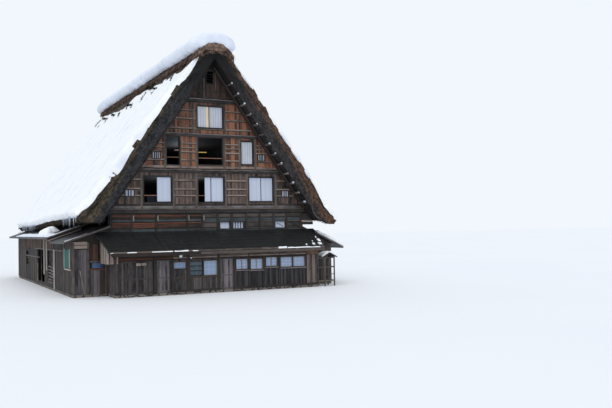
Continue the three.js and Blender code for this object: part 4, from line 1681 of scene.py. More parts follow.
        bump = 0.05 * Noise(41).rough(where, 1.1, 3)
        flutes = 0.02 * Noise(41).at(where * (0.1, 1, 0.1), 0.32) * (abs(co[:, 0]) > 0.9)
        Bench.shape(piece, co + normal * (bump + flutes)[:, None])
        Bench.smooth(piece, 80)
        piece = Bench.join([piece], "ridge_drift")
        # Painted shade: the drift takes the darker, shaded copy of the snow.
        hand_over(piece, self.finishes.ridge_snow)
        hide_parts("ridge_snow")

    def _slope_snow(self) -> None:
        """The snow on both slopes, torn along its upper edge and curled over the eave."""
        above = 0.41  # how far over the slope's mark the section starts
        line = [(1.0, OUTER_APEX - OUTER_SLOPE), (7.3, 5.3), (8.02, 4.62), *bend_of(8.06, 4.58, 0.12)]
        thin = ((0, 0.2), (0.3, 0.4), (1.6, 0.5), (3.2, 1.0))
        for side, word, depth, upper, ends, run, columns in (
                (-1, "left", 0.3, self.left_top, self.left_edge, (-12.74, 12.12), 320),
                (1, "right", 0.25, self.right_top, self.right_edge, (-12.7, 12.4), 110)):
            piece = Blanket(f"snow_{word}", line, run, depth, across=(side, 0, 0), rows=96, columns=columns,
                            swell=0.13, seat=0.1, ends=[(a + above, b) for a, b in ends],
                            upper=[(a, b + above) for a, b in upper], thin=thin, seed=50 + side).build()
            Bench.shape(piece, self._sag(Bench.coords(piece)))
            hand_over(piece, self.finishes.snow)
            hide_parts(f"roof_snow_{word}")

    def _icicles(self) -> None:
        """Icicles under the left eave, in the two runs where it drips, and short ones on both."""
        pattern = icicle_shape()
        icicles = Scatter(pattern, 61)
        rng = icicles.rng
        edge, height = 8.17, 4.53
        roots, lengths = [], []
        for side, y0, y1, count, long in ((-1, -12.7, -8.5, 9, 0.56), (-1, 2.8, 9.4, 13, 0.5),
                                          (-1, -8.4, 2.6, 7, 0.16), (1, -11.0, 11.5, 30, 0.24)):
            y = np.linspace(y0, y1, count) + rng.uniform(-0.3, 0.3, count) * (y1 - y0) / count
            x = side * edge + rng.normal(0, 0.02, count)
            roots.append(np.column_stack((x, y, np.full(count, height))))
            lengths.append(long * rng.uniform(0.7, 1.12, count))
        lengths = np.concatenate(lengths)
        roots = np.vstack(roots)
        aims = np.tile((0.0, 0.0, -1.0), (len(roots), 1)) + rng.normal(0, 0.03, (len(roots), 3))
        piece = icicles.spread("icicles", roots, aims, lengths, 0.012 + lengths * 0.042)
        Bench.shape(piece, self._sag(Bench.coords(piece)))
        Bench.smooth(piece, 80)
        hand_over(piece, self.finishes.ice)
        bpy.data.objects.remove(pattern)


class Finishes:
    """Every finish of the house, each built once."""

    def __init__(self) -> None:
        """Builds the shared effects, then each material."""
        grain, reed, snow = grain_effect(), reed_effect(), snow_effect()

        def wood(*settings: object) -> Material:
            """A kind of wood with the shared grain."""
            return Wood(*settings).make(grain)

        def pane(*settings: object) -> Material:
            """A kind of paper or glass."""
            return Pane(*settings).make()

        self.brown = wood("red brown boards", (30, 17, 13), (160, 96, 64), (150, 126, 110), 0.35)
        # Darker brown boards; on the gables' highest storey their darkness is painted shade under the
        # thatch's overhang.
        self.dark_brown = wood("smoked boards", (24, 16, 13), (92, 60, 46), (100, 82, 72), 0.2)
        self.greyed = wood("greyed boards", (13, 9, 8), (112, 86, 75), (132, 123, 118), 0.36)
        self.grey = wood("grey porch boards", (7, 6, 7), (84, 75, 73), (118, 112, 113), 0.2)
        self.door = wood("plain door boards", (24, 22, 23), (138, 129, 132), (144, 138, 143), 0.4)
        self.pale = wood("pale end boards", (50, 43, 40), (148, 132, 122), (166, 158, 151), 0.45)
        self.batten = wood("weathered battens", (88, 74, 66), (150, 131, 119), (164, 152, 145), 0.5)
        # Dark wood for painted shadow: strips under battens, shaded pole ends and rafters.
        self.shadow = wood("painted shadow wood", (22, 18, 17), (56, 44, 38), (80, 72, 68), 0.2)
        self.post = wood("weathered posts", (40, 33, 30), (96, 82, 74), (128, 118, 112), 0.45)
        self.beam = wood("dark beams", (15, 13, 13), (55, 48, 46), (94, 90, 90), 0.25)
        self.dark_post = wood("dark porch posts", (16, 13, 12), (68, 57, 49), (86, 77, 70), 0.2)
        self.header = wood("brown header", (12, 8, 7), (68, 40, 29), (76, 62, 54), 0.15)
        self.mezzanine = wood("orange brown boards", (18, 11, 9), (118, 62, 40), (112, 84, 70), 0.2)
        self.dull = wood("dull brown boards", (26, 22, 21), (84, 73, 67), (104, 98, 94), 0.4)
        self.slate_board = wood("blue grey boards", (26, 31, 34), (60, 68, 73), (96, 104, 108), 0.3)
        self.orange = wood("orange rails", (88, 56, 38), (142, 98, 74), (164, 134, 112), 0.3)
        self.orange_edge_highlight = wood("orange board edges", (70, 36, 22), (150, 84, 54), (150, 104, 80), 0.3)
        self.yellow = wood("yellow stick", (180, 140, 60), (224, 192, 98), (230, 208, 140), 0.2)
        self.hem = wood("yellow hem", (224, 200, 160), (236, 218, 186), (230, 220, 200), 0.4)
        self.teal = wood("teal shutter", (0, 54, 52), (0, 100, 90), (18, 112, 104), 0.15)
        self.pole = wood("roof poles", (46, 40, 37), (128, 116, 109), (160, 154, 151), 0.6)
        self.bright = wood("bleached poles", (112, 100, 92), (190, 172, 154), (196, 202, 212), 0.7)
        self.rosy = wood("rosy grey boards", (9, 7, 7), (158, 136, 130), (166, 150, 145), 0.25)
        self.ledge = wood("pale ledges", (70, 62, 60), (132, 122, 120), (160, 154, 154), 0.6)
        self.sill = wood("worn ledges", (58, 52, 51), (110, 103, 102), (134, 131, 133), 0.6)
        self.worn = wood("worn end boards", (9, 7, 7), (134, 119, 113), (146, 134, 128), 0.25)
        self.dark_wall = wood("dark low boards", (4, 4, 5), (60, 58, 62), (92, 90, 94), 0.12)
        self.shaded = wood("shaded aisle boards", (4, 4, 4), (64, 55, 51), (92, 85, 81), 0.15)
        self.dim_door = wood("dim aisle boards", (9, 8, 9), (104, 97, 101), (118, 112, 118), 0.3)
        self.wall = wood("wall behind boards", (18, 14, 12), (44, 34, 29), (64, 56, 52), 0.2, True)
        self.timber = wood("smoked timber", (18, 15, 14), (50, 40, 34), (66, 58, 52), 0.2, True)
        self.floor = wood("attic boards", (22, 18, 16), (56, 44, 37), (70, 62, 56), 0.2, False)
        self.reed_left = Reed("reed left", (40, 40, 43), (66, 55, 45), (54, 53, 35), 0.55, 0.66).make(reed)
        self.reed_right = Reed("reed right", (45, 42, 43), (76, 54, 42), (66, 56, 42), 0.3, 0.6).make(reed)
        # Near-black reed: painted shadow along the snow's edge on the left verge, and bare reed through thin
        # snow.
        self.dark_reed = Reed("dark reed and painted shadow", (22, 19, 17), (30, 26, 22), (30, 29, 21), 0.3, 0.5).make(reed)
        self.ridge_reed = Reed("ridge reed", (58, 47, 41), (113, 93, 82), (84, 72, 56), 0.3, 0.1).make(reed)
        self.snow = Snow("slope snow", (249, 252, 255), (222, 228, 243), 0.05).make(snow)
        # A darker, bluer copy of the slope snow: painted shade, used on the ridge, the pole ends and the
        # strips under the left eave.
        self.ridge_snow = Snow("shaded snow", (232, 239, 251), (206, 215, 237), 0.06).make(snow)
        self.ice = self._ice()
        self.paper = pane("window paper", (198, 207, 226), (184, 192, 212), (3.1, 0), 0.5, 0.75)
        # Its stripes are painted shade in the curtain's folds.
        self.curtain = pane("striped curtain", (196, 202, 214), (160, 160, 166), (6.2, 0), 0.7, 0.8)
        self.glass = pane("old glass", (112, 136, 172), (158, 176, 202), (4.4, 5.2), 0.35, 0.12)
        self.light_glass = pane("light glass", (142, 161, 192), (186, 197, 218), (4.4, 5.2), 0.35, 0.12)
        self.pale_glass = pane("frosted glass", (136, 156, 186), (164, 180, 204), (3.6, 3.6), 0.4, 0.25)
        self.dark_glass = pane("dark glass", (50, 68, 80), (78, 96, 108), (2.0, 3.0), 0.4, 0.15)
        self.blue_glass = pane("blue glass", (50, 76, 114), (84, 110, 146), (1.3, 3.1), 0.3, 0.15)
        self.sheet = Sheeting("dark roof sheet", (18, 21, 21), (40, 44, 45), 0.5).make()
        self.grey_sheet = Sheeting("grey roof sheet", (40, 42, 46), (92, 94, 100), 0.7).make()
        self.stone = self._stone()
        self.lamp = self._lamp()

    def _ice(self) -> Material:
        """Ice of the icicles, milky in clouds.

        Returns:
            The finished material.
        """
        stuff = Stuff("ice", 0.12, IOR=1.31, Transmission_Weight=0.2)
        t = stuff.tree
        cloud = t.noise(stuff.where(), 6.0, 3)
        stuff.paint(t.blend(shade((222, 230, 244)), shade((188, 200, 222)), cloud))
        stuff.relief(cloud, 0.4, 0.01)
        return stuff.material

    def _stone(self) -> Material:
        """Rough footing stones with dark joints.

        Returns:
            The finished material.
        """
        stuff = Stuff("footing stone", 0.9)
        t = stuff.tree
        cells = t.add("ShaderNodeTexVoronoi", feature="DISTANCE_TO_EDGE")
        t.feed(stuff.where(), cells.inputs["Vector"])
        cells.inputs["Scale"].default_value = 2.2
        joint = t.ramp(cells.outputs[0], 0.02, 0.09)
        rough = t.noise(stuff.where(), 9.0, 4)
        face = t.blend(shade((96, 90, 84)), shade((140, 134, 128)), rough)
        stuff.paint(t.blend(shade((44, 40, 38)), face, joint))
        stuff.relief(t.scaled(rough, 0.4, joint), 1.0, 0.03)
        return stuff.material

    def _lamp(self) -> Material:
        """Milk glass of the lamps, with dusty patches.

        Returns:
            The finished material.
        """
        stuff = Stuff("milk glass", 0.2)
        dust = stuff.tree.noise(stuff.where(), 12.0, 3)
        stuff.paint(stuff.tree.blend(shade((236, 240, 246)), shade((206, 212, 220)), dust))
        return stuff.material


@dataclass(frozen=True)
class Opening:
    """A window of a gable: its rectangle and what fills it."""

    rect: Rect
    panels: Sequence[Pair] = ()  # each paper panel's left and right edge
    bars: int = 0
    curtain: bool = False


@dataclass(frozen=True)
class Storey:
    """One attic storey of a gable wall."""

    low: float
    beam_top: float
    top: float
    openings: Sequence[Opening]
    rails: Sequence[tuple[float, float]]  # height and width of each batten
    posts: Sequence[Pair]  # middle and width

    @property
    def peak(self) -> bool:
        """Whether it is the highest one, which holds the smoke vent."""
        return self.low > 11


STOREYS = (
    Storey(4.66, 4.91, 7.05,
           (Opening((-4.13, -2.47, 5.30, 6.81), ((-3.36, -2.49),)),
            Opening((-0.83, 0.83, 5.30, 6.83), ((-0.42, 0.0), (0.0, 0.81))),
            Opening((2.47, 4.13, 5.33, 6.85), ((2.49, 3.3), (3.3, 4.11))),
            Opening((-5.20, -4.72, 5.66, 6.00), bars=2), Opening((4.74, 5.15, 5.65, 6.00), bars=2)),
           ((6.62, 0.09), (6.09, 0.08), (5.70, 0.07)),
           ((-4.28, 0.13), (-2.36, 0.12), (-0.94, 0.13), (0.92, 0.13), (2.34, 0.12), (4.28, 0.12))),
    Storey(7.05, 7.24, 9.23,
           (Opening((-2.75, -1.98, 7.54, 9.16)), Opening((-0.80, 0.77, 7.56, 9.19)),
            Opening((1.99, 2.78, 7.62, 9.06), ((2.01, 2.76),), curtain=True),
            Opening((-3.58, -3.15, 7.87, 8.25), bars=3), Opening((3.13, 3.54, 7.90, 8.26), bars=3)),
           ((8.81, 0.06), (8.56, 0.05), (8.31, 0.07), (7.83, 0.07), (7.40, 0.14)),
           ((-2.86, 0.12), (-1.91, 0.11), (-0.88, 0.12), (0.86, 0.13), (1.88, 0.12), (2.90, 0.12))),
    Storey(9.23, 9.41, 11.30,
           (Opening((-0.83, 0.83, 9.79, 11.12), ((-0.81, -0.06), (-0.06, 0.81)), curtain=True),),
           ((10.83, 0.07), (10.31, 0.08), (9.74, 0.08)),
           ((-1.07, 0.09), (-0.89, 0.12), (0.91, 0.12))),
    Storey(11.30, 11.53, 13.75,
           (Opening((-0.22, 0.22, 12.49, 13.26)),),
           ((12.05, 0.05), (11.68, 0.08)),
           ((-0.38, 0.08), (0.38, 0.08))),
)


@dataclass
class Gable:
    """One boarded gable wall: boards, battens, posts, beams and the screens in its windows."""

    finishes: Finishes
    name: str
    face: Face
    shut: bool  # all windows closed, as on the back
    seed: int
    # The highest storey's range is lowered: painted shade under the thatch's overhang.
    shades: Sequence[Pair] = ((0, 1), (0, 1), (-0.2, 0.85), (-0.9, 0.5))  # of each storey's boards

    def build(self) -> None:
        """Makes every piece of the wall."""
        self.saw = Carpenter(self.seed)
        finish = self.finishes
        for number, storey in enumerate(STOREYS, 1):
            holes = [o.rect for o in storey.openings]
            half = (INNER_APEX - storey.low) / INNER_SLOPE
            self.saw.boards(self.face, (-half, half), (storey.beam_top - 0.02, storey.top), holes, width=0.13,
                            roof=lambda x: inner_roof(x) - 0.03, tint=self.shades[number - 1])
            # The highest storey takes the darker brown: painted shade under the overhang.
            look = (finish.greyed, finish.brown, finish.brown, finish.dark_brown)[number - 1]
            slot = "weathered_boards" if number == 1 else "brown_boards"
            self.saw.finish(f"{self.name}_boards_{number}", look, slot)
        self._battens()
        self._posts()
        self._beams()
        self._casings()
        self._screens()
        self._rails()
        self.saw.close()

    def _spans(self, storey: Storey, low: float, high: float) -> list[Pair]:
        """The parts of a storey's width that are wall all the way between two heights.

        Args:
            storey: the storey.
            low: the lower height.
            high: the upper height.

        Returns:
            Each part's left and right edge.
        """
        half = (INNER_APEX - high) / INNER_SLOPE - 0.1
        windows = [(o.rect[0] - 0.03, o.rect[1] + 0.03) for o in storey.openings
                   if o.rect[2] < high and o.rect[3] > low]
        blocked = sorted(windows + [(p - w / 2, p + w / 2) for p, w in storey.posts])
        spans, start = [], -half
        for left, right in blocked:
            if left > start + 0.06:
                spans.append((start, min(left, half)))
            start = max(start, right)
        if half > start + 0.06:
            spans.append((start, half))
        return spans

    def _battens(self) -> None:
        """Level battens nailed over the boards with a painted shadow strip under each, and one down each
        sloping edge; on the highest storey only the dark strips, as painted shade.
        """
        laths, slopes = [], []
        for storey in STOREYS:
            for z, width in storey.rails:
                for span in self._spans(storey, z - width / 2, z + width / 2):
                    drop = self.saw.rng.uniform(-0.015, 0.015)
                    low, high = z - width / 2 + drop, z + width / 2 + drop
                    # On the highest storey the batten is left out and its strip laid full width: painted
                    # shade under the overhang.
                    if not storey.peak:
                        self.saw.bar(self.face, span, (low, high), (0.02, 0.045))
                    laths.append((span, low, width if storey.peak else 0.002))
            for side in () if storey.peak else (-1, 1):
                low, high = storey.beam_top, storey.top
                ends = [(side * ((INNER_APEX - z) / INNER_SLOPE - 0.1), z) for z in (low, high)]
                slopes.append(Plank(ends[0], ends[1], 0.09, 0.035, 0.03, tint=0.7))
        self.saw.finish(f"{self.name}_battens", self.finishes.batten, "brown_boards")
        # Dark strips under the battens: painted shadow.
        for span, z, tall in laths:
            self.saw.bar(self.face, span, (z - 0.045, z + tall), (0.018, 0.034))
        self.saw.finish(f"{self.name}_laths", self.finishes.shadow, "brown_boards")
        for plank in slopes:
            self.saw.lay(self.face, plank)
        self.saw.finish(f"{self.name}_edge_laths", self.finishes.dark_brown, "brown_boards")

    def _posts(self) -> None:
        """Upright posts between the boards."""
        for storey in STOREYS:
            for x, width in storey.posts:
                top = min(storey.top, inner_roof(abs(x) + width) - 0.02)
                # The highest storey's posts get the darkest shade: painted shade under the overhang.
                self.saw.post(self.face, x, width, (storey.beam_top, top), (0.0, 0.055),
                              0.0 if storey.peak else None)
        self.saw.finish(f"{self.name}_posts", self.finishes.post, "brown_boards")

    def _beams(self) -> None:
        """The tie beams under each storey, each with a worn ledge on top."""
        for storey in STOREYS:
            half = (INNER_APEX - storey.beam_top) / INNER_SLOPE - 0.04
            level = (storey.low + 0.005, storey.beam_top - 0.03)
            # The highest beam is darkened below the finish's range: painted shade under the overhang.
            self.saw.bar(self.face, (-half, half), level, (0.082, 0.115), -1.0 if storey.peak else None)
        self.saw.finish(f"{self.name}_beams", self.finishes.beam, "dark_timber")
        for storey in STOREYS:
            half = (INNER_APEX - storey.beam_top) / INNER_SLOPE - 0.04
            joints = np.linspace(-half, half, 4) + np.array((0, *self.saw.rng.uniform(-0.4, 0.4, 2), 0))
            for a, b in zip(joints, joints[1:]):
                rise = self.saw.rng.uniform(-0.012, 0.012)
                level = (storey.beam_top - 0.04 + rise, storey.beam_top + 0.012 + rise)
                self.saw.bar(self.face, (a + 0.01, b - 0.01), level, (0.02, 0.15))
            if storey is STOREYS[0]:
                self.saw.finish(f"{self.name}_low_ledge", self.finishes.post, "dark_timber")
                # A dark strip above the sill boards: painted shade.
                for span in self._spans(storey, 5.1, 5.2):
                    self.saw.bar(self.face, span, (5.1, 5.2), (0.02, 0.035))
                self.saw.finish(f"{self.name}_dark_laths", self.finishes.shadow, "dark_timber")
                for span in self._spans(storey, 4.9, 5.08):
                    self.saw.bar(self.face, span, (4.9, 5.08), (0.02, 0.05))
        self.saw.finish(f"{self.name}_ledges", self.finishes.sill, "dark_timber")

    def _casings(self) -> None:
        """Frames round the openings."""
        inner = self.face.shifted(-0.06)
        for storey in STOREYS:
            for opening in storey.openings:
                x0, x1, z0, z1 = opening.rect
                wide = 0.045 if opening.bars else 0.06
                level = (x0 - wide, x1 + wide)
                for a, c in ((level, (z1, z1 + wide)), (level, (z0 - wide, z0)),
                             ((x0 - wide, x0), (z0, z1)), ((x1, x1 + wide), (z0, z1))):
                    self.saw.bar(self.face, a, c, (-0.02, 0.062))
                for x in (x0, x1 - 0.012):
                    self.saw.bar(inner, (x, x + 0.012), (z0, z1), (-0.055, 0.05), 0.2)
        self.saw.finish(f"{self.name}_casings", self.finishes.beam, "dark_timber")

    def _panels(self, opening: Opening) -> list[Rect]:
        """The paper panels in an opening.

        Args:
            opening: the window.

        Returns:
            Each panel's left, right, low and high edges.
        """
        x0, x1, z0, z1 = opening.rect
        edges = opening.panels
        if self.shut and not opening.bars:
            middle = (x0 + x1) / 2
            left, right = x0 + 0.015, x1 - 0.015
            edges = ((left, middle), (middle, right)) if x1 - x0 > 1 else ((left, right),)
        return [(a, b, z0 + 0.015, z1 - 0.015) for a, b in edges]

    def _screens(self) -> None:
        """Sliding paper screens, and the barred windows with paper behind."""
        for number, storey in enumerate(STOREYS[:3], 1):
            papers = []
            for opening in storey.openings:
                x0, x1, z0, z1 = opening.rect
                if opening.bars:
                    papers.append((x0, x1, z0, z1, 0.003))
                for place, (a, b, low, high) in enumerate(self._panels(opening)):
                    papers.append((a + 0.02, b - 0.02, low, high, -0.045 - 0.03 * (place % 2)))
            for a, b, low, high, out in papers:
                self.saw.pane(self.face, (a, b, low, high), 0.006, out)
            curtain = any(o.curtain for o in storey.openings)
            piece = self.saw.finish(f"{self.name}_paper_{number}",
                                    self.finishes.curtain if curtain else self.finishes.paper, "paper_screen")
            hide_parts(f"{'back' if self.shut else 'front'}_screens_{number}")
        for storey in STOREYS:
            for opening in storey.openings:
                x0, x1, z0, z1 = opening.rect
                for place, (a, b, low, high) in enumerate(self._panels(opening)):
                    out = -0.042 - 0.03 * (place % 2)
                    for x in (a, b - 0.028):
                        self.saw.bar(self.face, (x, x + 0.028), (low, high), (out - 0.012, out + 0.012), 0.1)
                    for z in (low, high - 0.03):
                        self.saw.bar(self.face, (a, b), (z, z + 0.03), (out - 0.012, out + 0.012), 0.1)
                for bar in range(opening.bars):
                    x = x0 + (x1 - x0) * (bar + 1) / (opening.bars + 1)
                    self.saw.post(self.face, x, 0.052, (z0, z1), (0.012, 0.045), 0.0)
        self.saw.finish(f"{self.name}_screen_frames", self.finishes.beam, "dark_timber")

    def _rails(self) -> None:
        """Hand rails across the open windows, and the louvre boards of the smoke vent."""
        if not self.shut:
            for a, z in (((-4.13, -3.34), 5.70), ((-0.83, -0.42), 5.70), ((-2.75, -1.98), 7.97),
                         ((-0.80, 0.77), 7.96)):
                self.saw.bar(self.face, a, (z - 0.025, z + 0.025), (-0.06, -0.015))
            self.saw.finish(f"{self.name}_hand_rails", self.finishes.orange, "brown_boards")
            self.saw.bar(self.face, (-0.80, -0.26), (8.28, 8.33), (-0.03, 0.0))
            self.saw.finish(f"{self.name}_stick", self.finishes.yellow, "brown_boards")
            self.saw.bar(self.face, (-2.26, -1.98), (8.36, 8.44), (-0.05, -0.02))
            self.saw.finish(f"{self.name}_loose_slat", self.finishes.pale, "brown_boards")
            self.saw.bar(self.face, (-0.27, -0.09), (9.83, 11.08), (-0.038, -0.033), 0.6)
            self.saw.finish(f"{self.name}_curtain_hem", self.finishes.hem, "paper_screen")
            self.saw.bar(self.face, (-0.085, -0.035), (9.81, 11.1), (-0.036, -0.026), 0.0)
        for z in np.arange(12.56, 13.2, 0.17):
            self.saw.bar(self.face, (-0.22, 0.22), (z, z + 0.02), (-0.1, -0.03), 0.2)
        self.saw.finish(f"{self.name}_vent_slats", self.finishes.beam, "dark_timber")


@dataclass
class Mezzanine:
    """The band of wall between the low roof and the first tie beam."""

    finishes: Finishes
    posts: Sequence[float] = (-6.05, -4.87, -3.43, -1.55, -0.61, 0.37, 1.28, 2.24, 3.15, 4.11, 4.99, 6.05)
    windows: Sequence[Rect] = ((0.53, 1.15, 3.70, 4.07), (1.38, 2.06, 3.70, 4.07), (4.23, 4.91, 3.70, 4.08))
    low: float = 3.5
    high: float = 4.64

    def build(self) -> None:
        """Makes the front band and a plainer one at the back."""
        self.saw = Carpenter(71)
        bays = list(zip(self.posts, self.posts[1:]))
        rows = ((4.40, 4.60), (3.80, 4.05))
        glazed = [left for left, _ in bays if any(left < w[0] < left + 1 for w in self.windows)]
        for word, side, look in (("left", -1, self.finishes.mezzanine), ("right", 1, self.finishes.dull)):
            for left, right in bays:
                if (left < -0.7) == (side < 0):
                    for z0, z1 in rows[:1] if left in glazed else rows:
                        self._board(FRONT, left, right, z0, z1)
            self.saw.finish(f"mezzanine_boards_{word}", look, "brown_boards")
        # Bright orange lines along board edges in the left bays: painted highlights.
        for left, right in bays:
            if left < -0.7:
                self.saw.bar(FRONT, (left + 0.07, right - 0.07), (4.06, 4.09), (0.004, 0.05), 0.9)
                self.saw.bar(FRONT, (left + 0.07, right - 0.07), (4.5, 4.52), (0.02, 0.04), 0.7)
        self.saw.finish("mezzanine_orange_edges", self.finishes.orange_edge_highlight, "brown_boards")
        for left, right in bays:
            self._board(FRONT, left, right, *((4.17, 4.28) if left < -0.7 else (4.12, 4.34)))
            self._board(FRONT, left, right, 3.52, 3.73 if left < -0.7 else 3.66)
        self.saw.finish("mezzanine_middle_boards", self.finishes.slate_board, "brown_boards")
        # Pale strips on the right side of four posts: painted highlights.
        for x in self.posts[1:5]:
            self.saw.bar(FRONT, (x + 0.072, x + 0.14), (4.2, 4.53), (0.0, 0.045), 0.8)
        self.saw.bar(FRONT, (6.0, 6.87), (4.06, 4.15), (0.03, 0.06), 1.0)
        self.saw.finish("mezzanine_strips", self.finishes.batten, "brown_boards")
        for left, right in bays:
            if left > -0.7 and left not in glazed:
                for z in (3.71, 4.1, 4.57):
                    self.saw.bar(FRONT, (left + 0.07, right - 0.07), (z, z + 0.025), (0.02, 0.045), 0.9)
        self.saw.finish("mezzanine_right_lines", self.finishes.post, "brown_boards")
        for x in (5.0, 6.0):
            self.saw.bar(FRONT, (x - 0.05, x + 0.06), (self.low, self.high), (0.03, 0.066), 0.3)
        self.saw.finish("mezzanine_brown_posts", self.finishes.mezzanine, "brown_boards")
        for x in self.posts:
            self.saw.post(FRONT, x, 0.14, (self.low, self.high), (0.0, 0.06), 0.0)
        for c in ((3.86, 4.05), (4.16, 4.4), (4.4, 4.62)):
            self.saw.bar(FRONT, (6.0, 6.9), c, (0.0, 0.025))
        for window in self.windows:
            self.saw.casing(FRONT, window, 0.05, (-0.02, 0.05), 0.3)
        for x in (1.55, 1.72, 1.89):
            self.saw.post(FRONT, x, 0.036, (3.70, 4.07), (-0.05, -0.01), 0.1)
        self.saw.lay(FRONT, Plank((4.38, 3.98), (4.80, 3.80), 0.02, 0.02, -0.04, tint=0.1))
        for left, right in bays:
            for c in ((4.40, 4.62), (4.10, 4.36), (3.80, 4.06), (3.54, 3.76)):
                self.saw.bar(BACK, (left, right), c, (0.0, 0.02))
            self.saw.post(BACK, left, 0.14, (self.low, self.high), (0.0, 0.06), 0.15)
        self.saw.finish("mezzanine_posts", self.finishes.beam, "dark_timber")
        for window in self.windows:
            self.saw.pane(FRONT, window, 0.006, -0.06)
        piece = self.saw.finish("mezzanine_paper", self.finishes.paper, "paper_screen")
        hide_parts("panes_front_mezzanine")
        self.saw.close()

    def _board(self, face: Face, left: float, right: float, low: float, high: float) -> None:
        """One level board in a bay, a little out of true.

        Args:
            face: the face that it lies on.
            left: middle of the post at its left.
            right: middle of the post at its right.
            low: its lower edge.
            high: its upper edge.
        """
        tilt = self.saw.rng.uniform(-0.012, 0.012)
        middle = (low + high) / 2
        self.saw.lay(face, Plank((left + 0.06, middle - tilt), (right - 0.06, middle + tilt),
                                 high - low, 0.025, 0.004))


@dataclass(frozen=True)
class Sash:
    """A glazed window of the low rooms: its rectangle, panes across and up, and its glass."""

    rect: Rect
    across: int
    up: int
    glass: str


@dataclass
class Porch:
    """The low rooms in front of the front gable and behind the back one."""

    finishes: Finishes
    sashes: Sequence[Sash] = (
        Sash((-2.97, -2.25, 1.47, 1.84), 1, 1, "glass"),
        Sash((-2.04, -1.24, 1.02, 1.87), 1, 3, "dark_glass"),
        Sash((-1.19, -0.37, 1.02, 1.87), 1, 1, "pale_glass"),
        Sash((0.81, 1.56, 1.28, 1.89), 2, 1, "light_glass"),
        Sash((1.73, 2.52, 1.24, 1.87), 2, 1, "light_glass"),
        Sash((2.73, 3.48, 1.38, 1.93), 2, 1, "light_glass"),
        Sash((3.69, 4.50, 1.30, 1.91), 1, 1, "light_glass"),
        Sash((4.54, 5.35, 1.30, 1.91), 1, 1, "light_glass"))
    back_sashes: Sequence[Sash] = (
        Sash((-4.6, -3.4, 1.2, 1.85), 2, 1, "glass"), Sash((-0.6, 0.6, 1.2, 1.85), 2, 1, "glass"),
        Sash((3.4, 4.6, 1.2, 1.85), 2, 1, "glass"))

    def build(self) -> None:
        """Makes the walls, windows, lamps and the two low roofs."""
        self.saw = Carpenter(81)
        self._front_boards()
        self._header()
        self._posts()
        self._glaze(PORCH, self.sashes, "porch", ("panes_front_centre", "panes_front_right"))
        self._back()
        self._glaze(BACK_PORCH, self.back_sashes, "back_room", ("panes_back",))
        self._end_screen()
        self._roofs()
        self._fittings()
        self.saw.close()

    def _front_boards(self) -> None:
        """Upright boards between the doors and under and beside the windows."""
        holes = [s.rect for s in self.sashes]
        level = (BOARD_FOOT, HEADER)
        self.saw.boards(PORCH, (-3.14, -0.15), level, holes, width=0.11)
        self.saw.boards(PORCH, (-6.26, -5.98), level, width=0.14)
        self.saw.finish("porch_boards", self.finishes.grey, "weathered_boards")
        self.saw.boards(PORCH, (0.66, 5.42), level, holes, width=0.11, tint=(-0.5, 1.1))
        self.saw.finish("porch_window_boards", self.finishes.dark_wall, "weathered_boards")
        self.saw.boards(PORCH, (5.44, 6.26), level, width=0.1)
        self.saw.finish("porch_right_boards", self.finishes.worn, "weathered_boards")
        self._end_boards(-1, (0.2, 1))
        self.saw.finish("porch_end_boards", self.finishes.grey, "weathered_boards")

    def _end_boards(self, end: int, tint: Pair) -> None:
        """Boards under the sloping edges of one low roof, at both sides of the house.

        Args:
            end: -1 for the front roof, 1 for the back one.
            tint: range of the boards' shades.
        """
        for wall, side in ((LEFT, -1), (RIGHT, 1)):
            near, far = sorted(side * end * y for y in (GABLE_Y + 0.01, PORCH_Y))
            face = replace(wall, origin=(side * END_X, 0, 0))
            self.saw.boards(face, (near, far), (BOARD_FOOT, 3.5), width=0.17,
                            roof=lambda y: 3.48 - LOW_FALL / LOW_RUN * (abs(y) - GABLE_Y), tint=tint)

    def _header(self) -> None:
        """Boards of the header band in two courses, each stretch in its own finish."""
        looks = self.finishes
        left = ((-6.16, -4.1), (-4.0, -3.06))
        right = ((-3.0, -2.2), (-2.1, -0.25), (-0.2, 1.6), (1.66, 3.6), (3.64, 5.4))
        for name, spans, c, look, tint in (
                ("upper_left", left, (2.15, 2.48), looks.header, 0.3),
                ("lower_left", left, (2.02, 2.13), looks.mezzanine, 0.4),
                ("upper_right", right, (2.14, 2.48), looks.greyed, 0.35),
                ("lower_right", right, (2.045, 2.12), looks.batten, 0.5),
                ("corner", ((5.44, 6.27),), (2.02, 2.27), looks.orange, 0.1),
                ("sill", ((-6.2, 5.4),), (1.975, 2.03), looks.header, 0.2)):
            for span in spans:
                self.saw.bar(PORCH, span, c, (0.0, 0.045 if name == "sill" else 0.018), tint)
            self.saw.finish(f"porch_header_{name}", look, "brown_boards")
        for sash in self.sashes[3:]:
            x0, x1, z0, _ = sash.rect
            self.saw.bar(PORCH, (x0 - 0.06, x1 + 0.06), (z0 - 0.08, z0 - 0.045), (0.04, 0.075), 0.9)
        self.saw.finish("porch_sills", looks.ledge, "brown_boards")

    def _posts(self) -> None:
        """Posts of the low front wall, its sill and the door tracks' guard strips."""
        for x, width in ((-6.05, 0.08), (-4.05, 0.14), (-2.13, 0.13), (-0.29, 0.13), (0.71, 0.08),
                         (1.64, 0.07), (2.62, 0.08), (3.59, 0.08), (5.43, 0.09), (-3.06, 0.06)):
            self.saw.post(PORCH, x, width, (POST_FOOT, 2.46 if width > 0.1 else HEADER), (0.0, 0.05),
                          self.saw.rng.uniform(0, 0.5))
        self.saw.bar(PORCH, (-3.1, -0.2), (0.93, 0.99), (0.016, 0.04), 0.9)
        for x0, x1 in ((-6.25, -5.99), (-4.1, -3.97), (-3.13, -0.16), (0.67, 6.25)):
            self.saw.bar(PORCH, (x0, x1), (SILL_FOOT, 0.27), (0.0, 0.05), 0.2)
        self.saw.finish("porch_posts", self.finishes.dark_post, "dark_timber")

